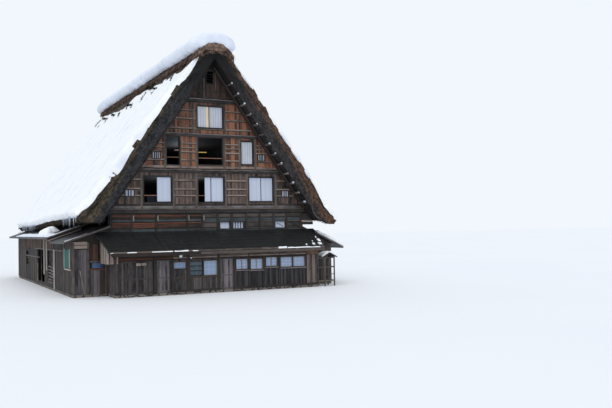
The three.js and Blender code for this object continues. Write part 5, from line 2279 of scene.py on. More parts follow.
    def _glaze(self, face: Face, sashes: Sequence[Sash], name: str, nodes: Sequence[str]) -> None:
        """Frames, bars and panes of the windows in one low wall.

        Args:
            face: the wall's outer face.
            sashes: its windows.
            name: start of the new pieces' names.
            nodes: packed sheets that the panes stand for.
        """
        for sash in sashes:
            self.saw.casing(face, sash.rect, 0.045, (-0.03, 0.045))
        self.saw.finish(f"{name}_casings", self.finishes.dark_post, "dark_timber")
        for sash in sorted(sashes, key=lambda s: s.glass != "dark_glass"):
            x0, x1, z0, z1 = sash.rect
            step = (x1 - x0) / sash.across
            for i in range(sash.across):
                a, b = x0 + i * step, x0 + (i + 1) * step
                out = -0.05 - 0.012 * (i % 2)
                wide, tint = (0.045, 0.0) if sash.glass == "dark_glass" else (0.032, 0.8)
                for x in (a, b - wide):
                    self.saw.bar(face, (x, x + wide), (z0, z1), (out, out + 0.025), tint)
                for k in range(sash.up + 1):
                    z = z0 + (z1 - z0 - wide) * k / sash.up
                    self.saw.bar(face, (a, b), (z, z + wide), (out, out + 0.024), tint)
            if sash.glass == "dark_glass":
                self.saw.finish(f"{name}_dark_sashes", self.finishes.beam, "dark_timber")
        self.saw.finish(f"{name}_sashes", self.finishes.ledge, "dark_timber")
        for number, glass in enumerate(dict.fromkeys(s.glass for s in sashes)):
            for sash in sashes:
                if sash.glass == glass:
                    self.saw.pane(face, sash.rect, 0.004, -0.062)
            piece = self.saw.finish(f"{name}_{glass}", getattr(self.finishes, glass), "window_glass")
            if number == 0:
                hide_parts(*nodes)

    def _back(self) -> None:
        """The back low wall: boards, header and posts."""
        holes = [s.rect for s in self.back_sashes]
        self.saw.boards(BACK_PORCH, (-6.26, 6.26), (BOARD_FOOT, HEADER), holes, width=0.18)
        self.saw.boards(BACK_PORCH, (-6.26, 6.26), (2.02, 2.5), width=0.5)
        self._end_boards(1, (0, 1))
        self.saw.finish("back_room_boards", self.finishes.grey, "weathered_boards")
        for x in (-6.18, -4.8, -3.2, -0.8, 0.8, 3.2, 4.8, 6.18):
            self.saw.post(BACK_PORCH, x, 0.14, (POST_FOOT, 2.46), (0.0, 0.05))
        self.saw.bar(BACK_PORCH, (-6.2, 6.2), (1.98, 2.07), (0.0, 0.045))
        self.saw.bar(BACK_PORCH, (-6.2, 6.2), (SILL_FOOT, 0.27), (0.0, 0.05))
        self.saw.finish("back_room_posts", self.finishes.post, "dark_timber")

    def _end_screen(self) -> None:
        """Pale boards that hang under the left end of the low roof."""
        side = replace(LEFT, origin=(-6.66, 0, 0))
        self.saw.boards(side, (GABLE_Y + 0.01, PORCH_Y), (1.86, 3.4), width=0.15,
                        roof=lambda y: 3.47 - LOW_FALL / LOW_RUN * (abs(y) - GABLE_Y), tint=(0.1, 1))
        self.saw.finish("end_screen_boards", self.finishes.pale, "weathered_boards")
        self.saw.boards(PORCH, (-6.68, -6.28), (1.86, 2.46), width=0.085, gap=0.014)
        self.saw.boards(PORCH, (-6.28, -6.11), (1.86, 2.46), width=0.085, gap=0.014, out=0.05)
        self.saw.finish("end_screen_front", self.finishes.rosy, "weathered_boards")

    def _roofs(self) -> None:
        """Lapped sheet courses, seams, bargeboards and eave boards on both low roofs."""
        length = math.hypot(LOW_RUN, LOW_FALL)
        level, rise = LOW_RUN / length, LOW_FALL / length
        courses = 6
        step = (length - 0.02) / courses
        for name, wall, end in (("front", PORCH, -1), ("back", BACK_PORCH, 1)):
            face = Face((0, end * (GABLE_Y + LOW_RUN), LOW_EAVE), (-end, 0, 0), (0, end * rise, level),
                        (0, -end * level, rise))
            for k in range(courses):
                low = k * step
                half = 6.55 + 0.4 * (low + step / 2) / length
                breaks = np.linspace(-half, half, 8)
                breaks[1:-1] += self.saw.rng.uniform(-0.5, 0.5, 6)
                for a, b in zip(breaks, breaks[1:]):
                    self.saw.lay(face, Plank((b + 0.008, low + step / 2), (a - 0.008, low + step / 2),
                                             step + 0.02, 0.006, 0.003, lean=0.012), 0.4)
            for k in range(11):
                x = -6.0 + 1.2 * k
                self.saw.lay(face, Plank((x, 0.01), (x, length - 0.03), 0.03, 0.02, 0.006), 0.3)
            self.saw.bar(face, (-6.9, 6.9), (length - 0.16, length - 0.01), (0.012, 0.03))
            self.saw.finish(f"{name}_low_sheets", self.finishes.sheet, "sheet_roof")
            self.saw.bar(wall, (-6.53, 6.53), (2.25, 2.335), (0.41, 0.443))
            for x in np.arange(-6.4, 6.5, 0.64):
                self.saw.lay(face, Plank((x, 0.03), (x, 0.5), 0.07, 0.06, -0.165))
            for side in (-1, 1):
                self.saw.lay(face, Plank((side * 6.535, 0.0), (side * 6.935, length - 0.02),
                                         0.05, 0.1, -0.095))
            self.saw.finish(f"{name}_eave_boards", self.finishes.beam, "brown_boards")
            ends = np.linspace(-6.56, 6.56, 7) + np.array((0, *self.saw.rng.uniform(-0.5, 0.5, 5), 0))
            for a, b in zip(ends, ends[1:]):
                deep = self.saw.rng.uniform(0.15, 0.2)
                self.saw.bar(face, (a + 0.006, b - 0.006), (0.0, deep), (0.022, 0.038))
            self.saw.finish(f"{name}_eave_planks", self.finishes.post, "brown_boards")
            for word, spans, look in (("dark", ((-6.55, -4.0), (-3.99, -1.52)), self.finishes.header),
                                      ("pale", ((-1.5, 0.9), (0.91, 3.5), (3.51, 6.55)), self.finishes.dull)):
                for span in spans:
                    self.saw.bar(wall, span, (2.26, 2.405), (0.453, 0.468), 0.25 if word == "dark" else 0.9)
                self.saw.finish(f"{name}_fascia_{word}", look, "brown_boards")

    def _fittings(self) -> None:
        """Two milk glass lamps on their holders, and two blank plates that hang over the doors."""
        lamps = ((-2.61, 2.2, 0.105), (-1.98, 2.07, 0.05))  # place along the wall, height and radius
        globes = []
        for x, z, radius in lamps:
            globe = Bench.primitive("uv_sphere", segments=20, ring_count=12, radius=radius,
                                    location=(x, -PORCH_Y - 0.07 - radius, z))
            with Bench.editing(globe):
                bpy.ops.mesh.select_mode(type="VERT")
                for vertex in bmesh.from_edit_mesh(globe.data).verts:
                    vertex.select_set(vertex.co.z > z + radius * 0.75)
                bmesh.update_edit_mesh(globe.data)
                bpy.ops.transform.translate(value=(0, 0, -radius * 0.12))
            globes.append(globe)
        piece = Bench.join(globes, "lamp_globes")
        Bench.smooth(piece, 60)
        hand_over(piece, self.finishes.lamp)
        for x, z, radius in lamps:
            top = z + radius * 0.8
            self.saw.post(PORCH, x, radius, (top - 0.01, top + 0.03), (0.045, 0.1 + radius * 1.6), 0.4)
        for x in (-5.08, -4.62, -4.9, -4.8):
            self.saw.post(PORCH, x, 0.008, (1.86, 2.02), (0.05, 0.058), 0.6)
        self.saw.finish("lamp_holders", self.finishes.beam, "dark_timber")
        for a, b in ((-5.12, -4.86), (-4.82, -4.56)):
            self.saw.bar(PORCH, (a, b), (1.72, 1.87), (0.05, 0.06), 0.9)
        self.saw.finish("hanging_plates", self.finishes.pale, "paper_screen")


@dataclass
class Leaf:
    """A boarded sliding door: boards on a frame, all inside its own thickness."""

    finishes: Finishes
    body: str
    back_y: float
    x: Pair
    seed: int
    z: Pair = (0.158, 1.992)
    thick: float = 0.035
    tint: Pair = (0.0, 1.0)

    def build(self) -> None:
        """Makes the leaf and hangs it on its own body."""
        saw = Carpenter(self.seed)
        face = Face((0, self.back_y, 0), (1, 0, 0), (0, -1, 0))
        left, right = self.x
        saw.boards(face, (left, right), (self.z[0] + 0.004, self.z[1] - 0.004), width=0.085, thick=0.02,
                   out=0.001, gap=0.008, tint=self.tint)
        for z, wide in ((self.z[0] + 0.002, 0.11), (0.95, 0.07), (self.z[1] - 0.082, 0.08)):
            saw.bar(face, (left + 0.002, right - 0.002), (z, z + wide), (0.022, 0.033), 0.35)
        for x in (left + 0.002, right - 0.062):
            saw.bar(face, (x, x + 0.06), (self.z[0] + 0.002, self.z[1] - 0.002), (0.021, 0.034))
        look = self.finishes.grey if "pair" in self.body else self.finishes.door
        piece = saw.finish(f"{self.body}_boards", look, "door_boards", self.body)
        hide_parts(self.body)
        saw.close()


@dataclass
class Aisles:
    """The two side aisles: boarded walls, their windows, and roofs of sheet and boards."""

    finishes: Finishes
    left_holes: Sequence[Rect] = ((-11.25, -9.35, 1.60, 2.68), (-5.6, -3.35, 0.62, 2.50),
                                  (-1.9, 1.1, 0.35, 2.5), (5.2, 7.0, 1.3, 2.3))
    right_holes: Sequence[Rect] = ((-9.0, -7.2, 1.1, 2.0), (-0.9, 0.9, 1.1, 2.0), (7.2, 9.0, 1.1, 2.0))

    def build(self) -> None:
        """Makes every piece of both aisles."""
        self.saw = Carpenter(91)
        self._left_wall()
        self._left_windows()
        self._right_wall()
        self._roofs()
        self.saw.close()

    def _left_wall(self) -> None:
        """Boards, posts and the long rail of the left aisle."""
        flipped = [(-y1, -y0, z0, z1) for y0, y1, z0, z1 in self.left_holes]
        self.saw.boards(LEFT, (7.15, GABLE_Y), (BOARD_FOOT, 3.12), flipped, width=0.24, tint=(-0.3, 1.0))
        self.saw.boards(LEFT, (-GABLE_Y, 7.15), (BOARD_FOOT, 3.44), flipped, width=0.3, tint=(-0.3, 1.0))
        front = ((-7.2, -6.45, 1.58, 1.92), (-7.28, -6.70, 2.02, 2.95))
        self.saw.boards(FRONT, (-6.72, -6.28), (BOARD_FOOT, 1.56), width=0.12)
        self.saw.boards(BACK, (6.28, AISLE_X), (BOARD_FOOT, 3.9), width=0.18,
                        roof=lambda x: 4.15 - LEFT_ROOF_FALL * (abs(x) - BODY_X))
        self.saw.finish("left_aisle_boards", self.finishes.shaded, "weathered_boards")
        self.saw.boards(FRONT, (-AISLE_X, -6.7), (BOARD_FOOT, 2.66), front, width=0.16, gap=0.016,
                        tint=(-0.6, 1.0))
        self.saw.finish("left_aisle_front_wall", self.finishes.dim_door, "weathered_boards")
        for z0, z1 in ((2.72, 2.9), (2.93, 3.1)):
            self.saw.bar(FRONT, (-8.18, -7.38), (z0, z1), (0.0, 0.022), 1.1)
        self.saw.finish("left_aisle_pale_header", self.finishes.batten, "brown_boards")
        self.saw.bar(FRONT, (-7.25, -6.4), (1.5, 1.57), (0.0, 0.05), 0.7)
        self.saw.finish("left_aisle_front_sill", self.finishes.mezzanine, "brown_boards")
        self.saw.boards(FRONT, (-7.36, -6.76), (2.0, 3.1), width=0.15, out=-0.03)
        self.saw.boards(LEFT, (-9.2, 5.0), (2.6, 3.42), width=0.3, out=0.022)
        self.saw.finish("left_aisle_upper_boards", self.finishes.dark_brown, "brown_boards")
        foot = POST_FOOT
        for y, width, low, tall in (
                (-11.55, 0.12, foot, 3.1), (-9.25, 0.1, foot, 3.1), (-8.5, 0.1, foot, 3.1),
                (-5.7, 0.11, foot, 3.4), (-3.25, 0.11, foot, 3.4), (-0.7, 0.08, foot, 3.4),
                (2.74, 0.09, 0.3, 1.45), (5.1, 0.1, foot, 3.4), (7.1, 0.1, foot, 3.4),
                (9.3, 0.1, foot, 3.4), (11.5, 0.12, foot, 3.4)):
            self.saw.post(LEFT, -y, width, (low, tall), (0.0, 0.06))
        for x, width, tall in ((-8.15, 0.11, 3.05), (-7.33, 0.1, 3.05), (-6.36, 0.1, 2.5)):
            self.saw.post(FRONT, x, width, (foot, tall), (0.0, 0.05))
        self.saw.bar(FRONT, (-7.25, -6.4), (1.93, 2.0), (0.0, 0.05))
        self.saw.finish("left_aisle_posts", self.finishes.post, "dark_timber")
        for y, width, low, tall, lean in ((-6.2, 0.12, foot, 2.6, 0.0), (-3.25, 0.1, 1.2, 3.2, 0.0),
                                          (-2.2, 0.11, 0.9, 3.2, 0.05)):
            self.saw.lay(LEFT, Plank((-y + lean, low), (-y, tall), width, 0.06, 0.06, tint=1.0))
        self.saw.finish("left_aisle_pale_poles", self.finishes.bright, "brown_boards")
        self.saw.bar(LEFT, (-1.11, -1.0), (0.3, 1.56), (0.0, 0.06), 0.7)
        self.saw.bar(LEFT, (-2.2, 9.2), (2.53, 2.59), (0.05, 0.085), 0.3)
        self.saw.bar(LEFT, (-7.0, -0.1), (1.93, 2.0), (0.02, 0.07), 0.3)
        self.saw.lay(FRONT, Plank((-7.55, 0.2), (-7.8, 1.5), 0.06, 0.05, 0.03, tint=0.6))
        self.saw.finish("left_aisle_pale_rails", self.finishes.pale, "brown_boards")

    def _left_windows(self) -> None:
        """The teal shutter, the ladder-like slats and the small panes of the left aisle."""
        self.saw.boards(LEFT, (9.43, 10.62), (1.6, 2.66), width=0.6, out=0.01, gap=0.004)
        self.saw.finish("teal_shutter", self.finishes.teal, "weathered_boards")
        self.saw.boards(LEFT, (10.62, 11.24), (1.6, 2.68), width=0.16, out=-0.03)
        self.saw.finish("left_aisle_dark_boards", self.finishes.dark_wall, "weathered_boards")
        for a, c in (((10.94, 11.08), (1.62, 2.68)), ((9.4, 11.3), (1.5, 1.56)), ((9.36, 9.42), (1.6, 2.7))):
            self.saw.bar(LEFT, a, c, (0.02, 0.06), 0.9)
        self.saw.finish("left_aisle_shutter_frame", self.finishes.bright, "brown_boards")
        for z in np.arange(0.42, 1.45, 0.2):
            self.saw.bar(LEFT, (3.6, 5.2), (z, z + 0.1), (0.01, 0.04), 0.8)
        self.saw.finish("left_aisle_slats", self.finishes.post, "brown_boards")
        for a in (3.9, 4.45, 5.0):
            self.saw.bar(LEFT, (a, a + 0.05), (1.5, 2.5), (-0.05, 0.0))
        for a, c in (((-7.0, -5.2), (1.78, 1.83)), ((-6.13, -6.07), (1.3, 2.3))):
            self.saw.bar(LEFT, a, c, (-0.05, -0.01))
        self.saw.finish("left_aisle_bars", self.finishes.post, "dark_timber")
        for rect in ((3.36, 5.59, 0.63, 2.49), (-6.99, -5.21, 1.31, 2.29)):
            self.saw.pane(LEFT, rect, 0.005, -0.085)
        piece = self.saw.finish("left_aisle_panes", self.finishes.dark_glass, "window_glass")
        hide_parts("left_aisle_screens")
        self.saw.lay(FRONT, Plank((-6.78, 1.6), (-6.78, 1.9), 0.7, 0.005, -0.06), 0)
        self.saw.finish("left_aisle_blue_pane", self.finishes.blue_glass, "window_glass")

    def _right_wall(self) -> None:
        """Boards, posts and windows of the right aisle."""
        self.saw.boards(RIGHT, (-GABLE_Y, GABLE_Y), (BOARD_FOOT, 2.62), self.right_holes, width=0.19)
        for face, a in ((FRONT, (6.28, AISLE_X)), (BACK, (-AISLE_X, -6.28))):
            self.saw.boards(face, a, (BOARD_FOOT, 3.6), width=0.18,
                            roof=lambda x: 3.6 - RIGHT_ROOF_FALL * (abs(x) - BODY_X))
        self.saw.finish("right_aisle_boards", self.finishes.grey, "weathered_boards")
        for y in (-11.5, -9.2, -7.0, -4.0, -1.1, 1.1, 4.0, 7.0, 9.2, 11.5):
            self.saw.post(RIGHT, y, 0.12, (POST_FOOT, 2.6), (0.0, 0.06))
        self.saw.bar(RIGHT, (-11.5, 11.5), (2.3, 2.38), (0.05, 0.08))
        for y0, y1, z0, z1 in self.right_holes:
            for z in (z0 - 0.05, z1):
                self.saw.bar(RIGHT, (y0 - 0.05, y1 + 0.05), (z, z + 0.05), (-0.02, 0.05))
            for y in np.linspace(y0 - 0.02, y1 - 0.02, 4):
                self.saw.bar(RIGHT, (y, y + 0.04), (z0, z1), (-0.05, 0.02))
        self.saw.finish("right_aisle_posts", self.finishes.post, "dark_timber")
        for hole in self.right_holes:
            self.saw.pane(RIGHT, hole, 0.005, -0.06)
        piece = self.saw.finish("right_aisle_paper", self.finishes.paper, "paper_screen")
        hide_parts("right_aisle_screens")

    def _roofs(self) -> None:
        """Lapped boards down the aisle roofs, their eave strips, bargeboards and end boards."""
        looks = self.finishes
        for name, side, high, fall, outer, run, look in (
                ("left_front", -1, 3.97, 0.344, 8.7, (-12.05, -7.16), looks.post),
                ("left_rear", -1, LEFT_ROOF_TOP, LEFT_ROOF_FALL, 8.9, (-7.45, 12.05), looks.post),
                ("right", 1, 3.75, RIGHT_ROOF_FALL, 8.9, (-12.05, 12.05), looks.ledge)):
            steep = math.hypot(1, fall)
            length = steep * (outer - BODY_X)
            face = Face((side * outer, 0, high - fall * (outer - BODY_X)), (0, side, 0),
                        (side * fall / steep, 0, 1 / steep), (-side / steep, 0, fall / steep))
            left, right = sorted(side * y for y in run)
            reach = past = length - 0.06
            spans = [((left, right), reach, 0.32)]
            if name == "right":
                middle = GABLE_Y - 0.02
                past = length - (6.97 - BODY_X) * steep - 0.02
                spans = [((-middle, middle), reach, 0.32), ((left, -middle), past, 0.3),
                         ((middle, right), past, 0.3)]
            for a, top, width in spans:
                self.saw.boards(face, a, (0.0, top), width=width, thick=0.012, gap=0.004)
            self.saw.bar(face, (left, right), (0.0, 0.05), (-0.09, -0.004))
            self.saw.finish(f"{name}_aisle_roof_boards", looks.grey_sheet, "sheet_roof")
            for x in (left - 0.015, right + 0.015):
                self.saw.lay(face.shifted(-0.06), Plank((x, 0.0), (x, past), 0.035, 0.075), 0.5)
            self.saw.finish(f"{name}_aisle_bargeboards", look, "brown_boards")
        end = replace(FRONT, origin=(0, -7.42, 0))
        # A near-black board under the snow's front edge: painted shadow between the roof's edge and its snow.
        self.saw.lay(end, Plank((-8.84, 3.225), (-6.9, 3.887), 0.2, 0.03, tint=0.0))
        self.saw.finish("left_rear_aisle_shadow_board", self.finishes.beam, "brown_boards")
        self.saw.lay(end, Plank((-8.86, 3.15), (-6.9, 3.818), 0.07, 0.04, 0.03, tint=0.9))
        self.saw.finish("left_rear_aisle_end_lath", self.finishes.pale, "brown_boards")


@dataclass
class Verges:
    """Rafters and pole ends under the thatch at the four verges."""

    finishes: Finishes
    radius: float = 0.066
    first: float = 1.03  # from the middle to the highest pole
    step: float = 0.412
    count: int = 13
    root: float = 11.72  # distance to the middle at which the poles start

    def _pole(self) -> Object:
        """A round pole one unit long with softened ends.

        Returns:
            The pole.
        """
        pole = Bench.primitive("cylinder", vertices=12, radius=1, depth=1, location=(0, 0, 0.5))
        Bench.cut_rings(pole, 3)
        co = Bench.coords(pole)
        ends = (co[:, 2] < 0.01) | (co[:, 2] > 0.99)
        co[:, :2] *= np.where(ends, 0.86, 1.0)[:, None] * (1 + 0.06 * np.sin(co[:, 2:3] * 9))
        Bench.shape(pole, co)
        return Bench.smooth(pole, 50)

    def build(self) -> None:
        """Makes the poles, rafters and the snow that sits on the pole ends."""
        pattern = self._pole()
        poles = Scatter(pattern, 101)
        rng = poles.rng
        saw = Carpenter(102)
        length = math.hypot(1, INNER_SLOPE)
        caps = []
        for word, end in (("front", -1), ("back", 1)):
            for side, hand in ((-1, "left"), (1, "right")):
                n = self.count
                x = self.first + self.step * np.arange(n)
                z = INNER_APEX - INNER_SLOPE * x
                snowy = (side > 0) == (end < 0)
                sunk = (-0.03, -0.01, 0.05, 0.11) if snowy else (0, 0.03, 0.07, 0.13)
                below = np.interp(np.arange(n), (0, 3, 7, 12), sunk)
                x, z = x - below * INNER_SLOPE / length, z - below / length
                tips = (12.62 if snowy else 12.48) + rng.uniform(-0.06, 0.06, n)
                long = tips - self.root
                roots = np.column_stack((side * x, np.full(n, end * self.root), z))
                aims = np.column_stack((rng.normal(0, 0.015, n), end * long, rng.normal(-0.01, 0.012, n)))
                radii = self.radius * rng.uniform(0.85, 1.05, n)
                piece = poles.spread(f"{word}_poles_{hand}", roots, aims, long, radii)
                hand_over(piece, self.finishes.pole if snowy else self.finishes.shadow)
                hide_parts(f"{word}_verge_{hand}")
                if snowy:
                    caps += [(side * a, end * (t - 0.06), b + 0.045) for a, b, t in zip(x, z, tips)]
                down = (side / length, 0, -INNER_SLOPE / length)
                inward = (-side * INNER_SLOPE / length, 0, -1 / length)
                face = Face((0, end * 11.95, INNER_APEX), (0, side, 0), inward, down)
                saw.lay(face, Plank((-0.1, 0.45), (-0.1, 10.75), 0.12, 0.11, 0.1), 0.6)
        saw.finish("verge_rafters", self.finishes.shadow, "dark_timber")
        bent = [(6.3, 4.95), (6.4, 4.66), (6.53, 4.42), (6.76, 4.25), (7.0, 4.17)]
        for a, b in zip(bent, bent[1:]):
            saw.lay(replace(FRONT, origin=(0, -12.63, 0)), Plank(a, b, 0.06, 0.05, tint=0.9))
        saw.finish("verge_bent_end", self.finishes.dull, "dark_timber")
        saw.close()
        bpy.data.objects.remove(pattern)
        self._caps(np.array(caps), rng)

    def _caps(self, places: np.ndarray, rng: np.random.Generator) -> None:
        """Long little heaps of snow on the pole ends.

        Args:
            places: rows of x, y and z.
            rng: source of random draws.
        """
        heap = Bench.primitive("ico_sphere", subdivisions=2, radius=1)
        co = Bench.coords(heap)
        co[:, :2] *= 1 + 0.2 * np.sin(3 * co[:, 2:3] + 1)
        Bench.shape(heap, co)
        Bench.smooth(heap, 80)
        places = places[rng.uniform(0, 1, len(places)) < 0.8]
        sizes = rng.uniform(0.75, 1.15, len(places))
        heaps = Scatter(heap, 103)
        aims = np.tile((0.0, 1.0, 0.0), (len(places), 1))
        piece = heaps.spread("pole_snow", places, aims, 0.13 * sizes, 0.05 * sizes)
        # Painted shade: the caps take the darker, shaded copy of the snow.
        hand_over(piece, self.finishes.ridge_snow)
        bpy.data.objects.remove(heap)


@dataclass
class SideFrame:
    """The small open frame at the right end of the low front wall, with its little roof."""

    finishes: Finishes
    x: Pair = (6.72, 7.47)
    y: Pair = (-13.42, -12.52)
    bar: float = 0.07

    def build(self) -> None:
        """Makes the frame, its lattice, its roof and the snow on it."""
        saw = Carpenter(111)
        front = Face((0, self.y[0], 0), (1, 0, 0), (0, -1, 0))
        for y in (self.y[0] + self.bar, self.y[1]):
            face = replace(front, origin=(0, y, 0))
            for x in (self.x[0], self.x[1] - self.bar):
                saw.bar(face, (x, x + self.bar), (0.0, 1.8), (0.0, self.bar))
            for z in (0.30, 1.15, 1.73):
                saw.bar(face, (6.274, self.x[1]), (z, z + self.bar), (0.008, self.bar - 0.008))
        side = Face((self.x[0], 0, 0), (0, -1, 0), (-1, 0, 0))
        for x in (self.x[0] + self.bar - 0.01, self.x[1] - 0.01):
            face = replace(side, origin=(x, 0, 0))
            for z in (0.30, 1.15, 1.73):
                saw.bar(face, (-self.y[1], -self.y[0]), (z, z + self.bar), (0.0, 0.05))
            saw.bar(face, (12.93, 12.97), (0.36, 1.16), (0.01, 0.05))
        face = replace(front, origin=(0, self.y[0] + self.bar, 0))
        saw.bar(face, (7.06, 7.11), (0.36, 1.16), (0.02, 0.06))
        saw.bar(face, (6.78, 7.42), (0.72, 0.76), (0.02, 0.06))
        piece = saw.finish("side_frame_bars", self.finishes.post, "dark_timber")
        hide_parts("side_porch_frame")
        middle = sum(self.x) / 2
        half = (self.x[1] - self.x[0]) / 2 + 0.14
        rise = 0.28
        fall = math.hypot(half, rise)
        for sign in (-1, 1):
            roof = Face((middle, -12.97, 2.07), (0, -sign, 0), (sign * rise / fall, 0, half / fall),
                        (-sign * half / fall, 0, rise / fall))
            for y in np.arange(-0.53, 0.5, 0.177):
                saw.lay(roof, Plank((y + 0.085, -fall), (y + 0.085, 0.0), 0.17, 0.02), 0.6)
        for y in (-13.46, -12.5):
            for sign in (-1, 1):
                gable = replace(front, origin=(0, y, 0))
                saw.lay(gable, Plank((middle + sign * half, 1.79), (middle, 2.06), 0.06, 0.03), 0.5)
        saw.finish("side_frame_roof", self.finishes.beam, "dark_timber")
        saw.close()
        for sign, word in ((-1, "left"), (1, "right")):
            line = [(0.0, 2.1), (half * 0.98, 1.83)]
            drift = Blanket(f"side_frame_snow_{word}", line, (-13.44, -12.5), 0.11, across=(sign, 0, 0),
                            rows=12, columns=18, edge=0.1, ragged=0.03, seat=0.012, seed=112 + sign).build()
            co = Bench.coords(drift)
            co[:, 0] += middle
            Bench.shape(drift, co)
            hand_over(drift, self.finishes.snow)


@dataclass
class LowSnow:
    """Snow left on the low roofs: strips along the eave, the aisle roof and one heap."""

    finishes: Finishes

    def build(self) -> None:
        """Makes each patch."""
        patches = [([(13.79, 2.49), (13.885, 2.44)], x, depth) for x, depth in (
            ((-6.62, -6.4), 0.035), ((-5.72, -4.65), 0.035), ((-4.35, -3.1), 0.022), ((-3.05, -2.2), 0.07),
            ((-2, -1.6), 0.02), ((3.34, 3.95), 0.06), ((3.97, 5.5), 0.045), ((5.3, 6.5), 0.06))]
        patches += [([(y, 2.45 + 0.52 * (13.87 - y)), (y + wide, 2.45 + 0.52 * (13.87 - y - wide))], x, 0.035)
                    for y, wide, x in ((12.6, 0.2, (6.4, 6.62)), (12.9, 0.3, (6.38, 6.7)),
                                       (13.3, 0.26, (6.28, 6.62)), (13.35, 0.2, (5.85, 6.15)),
                                       (13.1, 0.12, (5.95, 6.1)), (13.5, 0.12, (5.3, 5.5)))]
        for k, (line, run, depth) in enumerate(patches):
            strip = Blanket(f"eave_snow_{k + 1}", line, run, depth, across=(0, -1, 0), along=(1, 0, 0),
                            rows=8, columns=80, edge=0.04, ragged=0.02 if k < 8 else 0.05, seat=0.012,
                            swell=0.9, seed=120 + k).build()
            hand_over(strip, self.finishes.snow)
        for strip in (
                Blanket("left_aisle_edge_snow", [(6.9, 4.06), (8.88, 3.37)], (-7.5, -7.25), 0.04,
                        across=(-1, 0, 0), rows=60, columns=8, edge=0.06, ragged=0.03, seat=0.015, swell=0.8,
                        seed=134),
                Blanket("left_aisle_eave_snow", [(8.3, 3.575), (8.89, 3.375)], (-7.3, 8.0), 0.03,
                        across=(-1, 0, 0), rows=10, columns=160, edge=0.08, ragged=0.1, seat=0.012, swell=0.9,
                        seed=135),
                Blanket("left_aisle_front_snow", [(7.4, 3.56), (8.69, 3.115)], (-12.0, -11.75), 0.03,
                        across=(-1, 0, 0), rows=50, columns=8, edge=0.06, ragged=0.05, seat=0.012, swell=0.9,
                        seed=136)):
            # Painted shade: these strips under the eave take the darker copy of the snow.
            hand_over(strip.build(), self.finishes.ridge_snow)
        line = [(6.99, 3.34), (8.9, 2.40), *bend_of(8.92, 2.36, 0.06)]
        blanket = Blanket("right_aisle_snow", line, (-12.02, 12.02), 0.22, rows=24, columns=150, ragged=0.06,
                          seat=0.02, seed=131, edge=0.16).build()
        hand_over(blanket, self.finishes.snow)
        heap = Blanket("left_aisle_heap", [(7.75, 3.751), (8.7, 3.427)], (-5.3, -1.8), 0.5, across=(-1, 0, 0),
                       rows=30, columns=70, edge=0.5, ragged=0.22, seat=0.02, seed=132).build()
        co = Bench.coords(heap)
        roof = LEFT_ROOF_TOP - LEFT_ROOF_FALL * (np.abs(co[:, 0]) - BODY_X)
        share = np.interp(co[:, 1], (-5.4, -4.8, -3.4, -1.6), (0.8, 1.0, 0.75, 0.3))
        co[:, 2] = roof + (co[:, 2] - roof) * np.where(co[:, 2] > roof, share, 1)
        Bench.shape(heap, co)
        hand_over(heap, self.finishes.snow)


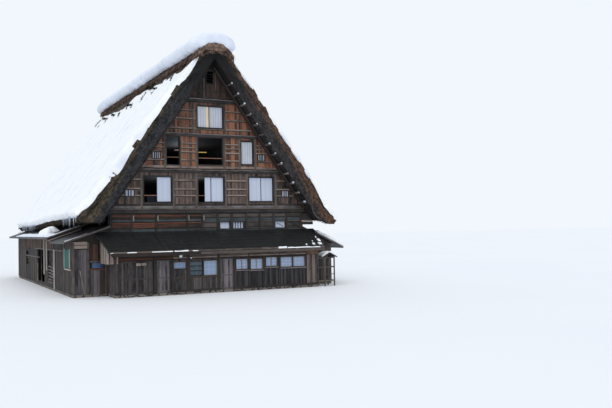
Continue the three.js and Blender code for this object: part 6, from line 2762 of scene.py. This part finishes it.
class Studio:
    """The camera at the photo's place, soft light and a pale floor."""

    PLACE = (-16.107, -54.963, 3.641)
    YAW, PITCH, ROLL = 27.483, 1.800, -1.078
    FOCAL, WIDTH = 760.118, 612  # focal length and picture, in the photo's pixels
    SENSOR = 36.0

    def build(self) -> None:
        """Makes the camera, the lights and the floor."""
        self._camera()
        self._light()
        self._floor()

    def _camera(self) -> None:
        """A camera that frames the house as the photo does."""
        yaw, pitch, roll = (math.radians(a) for a in (self.YAW, self.PITCH, self.ROLL))
        ahead = Vector((math.sin(yaw) * math.cos(pitch), math.cos(yaw) * math.cos(pitch), math.sin(pitch)))
        level = Vector((math.cos(yaw), -math.sin(yaw), 0))
        upright = level.cross(ahead)
        right = math.cos(roll) * level + math.sin(roll) * upright
        up = -math.sin(roll) * level + math.cos(roll) * upright
        data = bpy.data.cameras.new("camera")
        data.sensor_width, data.lens = self.SENSOR, self.SENSOR * self.FOCAL / self.WIDTH
        data.clip_end = 500
        camera = bpy.data.objects.new("camera", data)
        bpy.context.scene.collection.objects.link(camera)
        turn = Matrix((right, up, -ahead)).transposed().to_4x4()
        camera.matrix_world = Matrix.Translation(self.PLACE) @ turn
        bpy.context.scene.camera = camera

    def _light(self) -> None:
        """An overcast sky and a very soft sun high on the left."""
        scene = bpy.context.scene
        scene.view_settings.view_transform = "Standard"
        world = bpy.data.worlds.new("overcast sky")
        world.use_nodes = True
        back = world.node_tree.nodes["Background"]
        back.inputs["Color"].default_value = (0.9, 0.95, 1.0, 1)
        seen = world.node_tree.nodes.new("ShaderNodeLightPath").outputs["Is Camera Ray"]
        reach = world.node_tree.nodes.new("ShaderNodeMapRange")
        reach.inputs["To Min"].default_value, reach.inputs["To Max"].default_value = 0.8, 0.98
        world.node_tree.links.new(seen, reach.inputs["Value"])
        world.node_tree.links.new(reach.outputs[0], back.inputs["Strength"])
        scene.world = world
        data = bpy.data.lights.new("soft sun", "SUN")
        data.energy, data.angle = 1.0, math.radians(50)
        data.color = (1.0, 0.97, 0.93)
        sun = bpy.data.objects.new("soft sun", data)
        scene.collection.objects.link(sun)
        sun.rotation_mode = "QUATERNION"
        sun.rotation_quaternion = Vector((0.3, 0.45, -0.95)).to_track_quat("-Z", "Y")
        for k, (y, z, energy) in enumerate(((-6, 6.2, 260), (-6, 8.4, 70), (-5, 10.6, 60)), 1):
            glow = bpy.data.lights.new(f"attic light {k}", "POINT")
            glow.energy, glow.shadow_soft_size, glow.color = energy, 0.5, (0.75, 0.88, 1.0)
            lamp = bpy.data.objects.new(glow.name, glow)
            lamp.location = (0, y, z)
            scene.collection.objects.link(lamp)

    def _floor(self) -> None:
        """A wide pale floor."""
        floor = Bench.primitive("grid", x_subdivisions=8, y_subdivisions=8, size=900)
        floor.name = "floor"
        stuff = Stuff("pale floor", 0.9)
        cloud = stuff.tree.noise(stuff.where(), 0.05, 3)
        stuff.paint(stuff.tree.blend(shade((244, 246, 250)), shade((236, 239, 246)), cloud))
        floor.data.materials.append(stuff.material)


def dress_nodes(finishes: Finishes) -> None:
    """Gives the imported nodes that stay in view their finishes.

    Args:
        finishes: every finish of the house.
    """
    looks = {
        finishes.stone: ("ground_floor",),
        finishes.wall: ("front_wall_left", "front_wall_centre", "front_wall_right", "front_wall_header",
                        "front_wall_door_post", "left_end_screen", "back_wall", "left_aisle_wall",
                        "right_aisle_wall", "front_gable_1", "front_gable_2", "front_gable_3",
                        "front_gable_4", "back_gable"),
        finishes.timber: ("front_frame", "back_frame", "left_side_frame", "right_side_frame"),
        finishes.floor: ("attic_floor_1", "attic_floor_2", "attic_floor_3", "attic_floor_4"),
        finishes.sheet: ("front_low_roof", "back_low_roof"),
        finishes.grey_sheet: ("left_aisle_roof_front", "left_aisle_roof_rear", "right_aisle_roof"),
    }
    for material, names in looks.items():
        for name in names:
            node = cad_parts[name]
            node.data.materials.clear()
            node.data.materials.append(material)


def main() -> None:
    """Builds the house's parts in order, then the studio."""
    logging.basicConfig(level=logging.INFO, format="%(message)s")
    finishes = Finishes()
    dress_nodes(finishes)
    Studio().build()
    Roof(finishes).build()
    Verges(finishes).build()
    Gable(finishes, "front", FRONT, False, 201).build()
    Gable(finishes, "back", BACK, True, 202).build()
    Mezzanine(finishes).build()
    Porch(finishes).build()
    for body, back_y, x, seed, tint in (("door_pair_left", -13.377, (-5.972, -5.03), 211, (0, 1)),
                                        ("door_pair_right", -13.334, (-5.09, -4.148), 212, (0, 1)),
                                        ("door_side", -13.265, (-3.98, -3.11), 213, (0, 0.75)),
                                        ("door_centre", -13.265, (-0.18, 0.69), 214, (0.1, 1))):
        Leaf(finishes, body, back_y, x, seed, tint=tint).build()
    Aisles(finishes).build()
    SideFrame(finishes).build()
    LowSnow(finishes).build()
    bpy.context.view_layer.update()


if __name__ == "__main__":
    main()
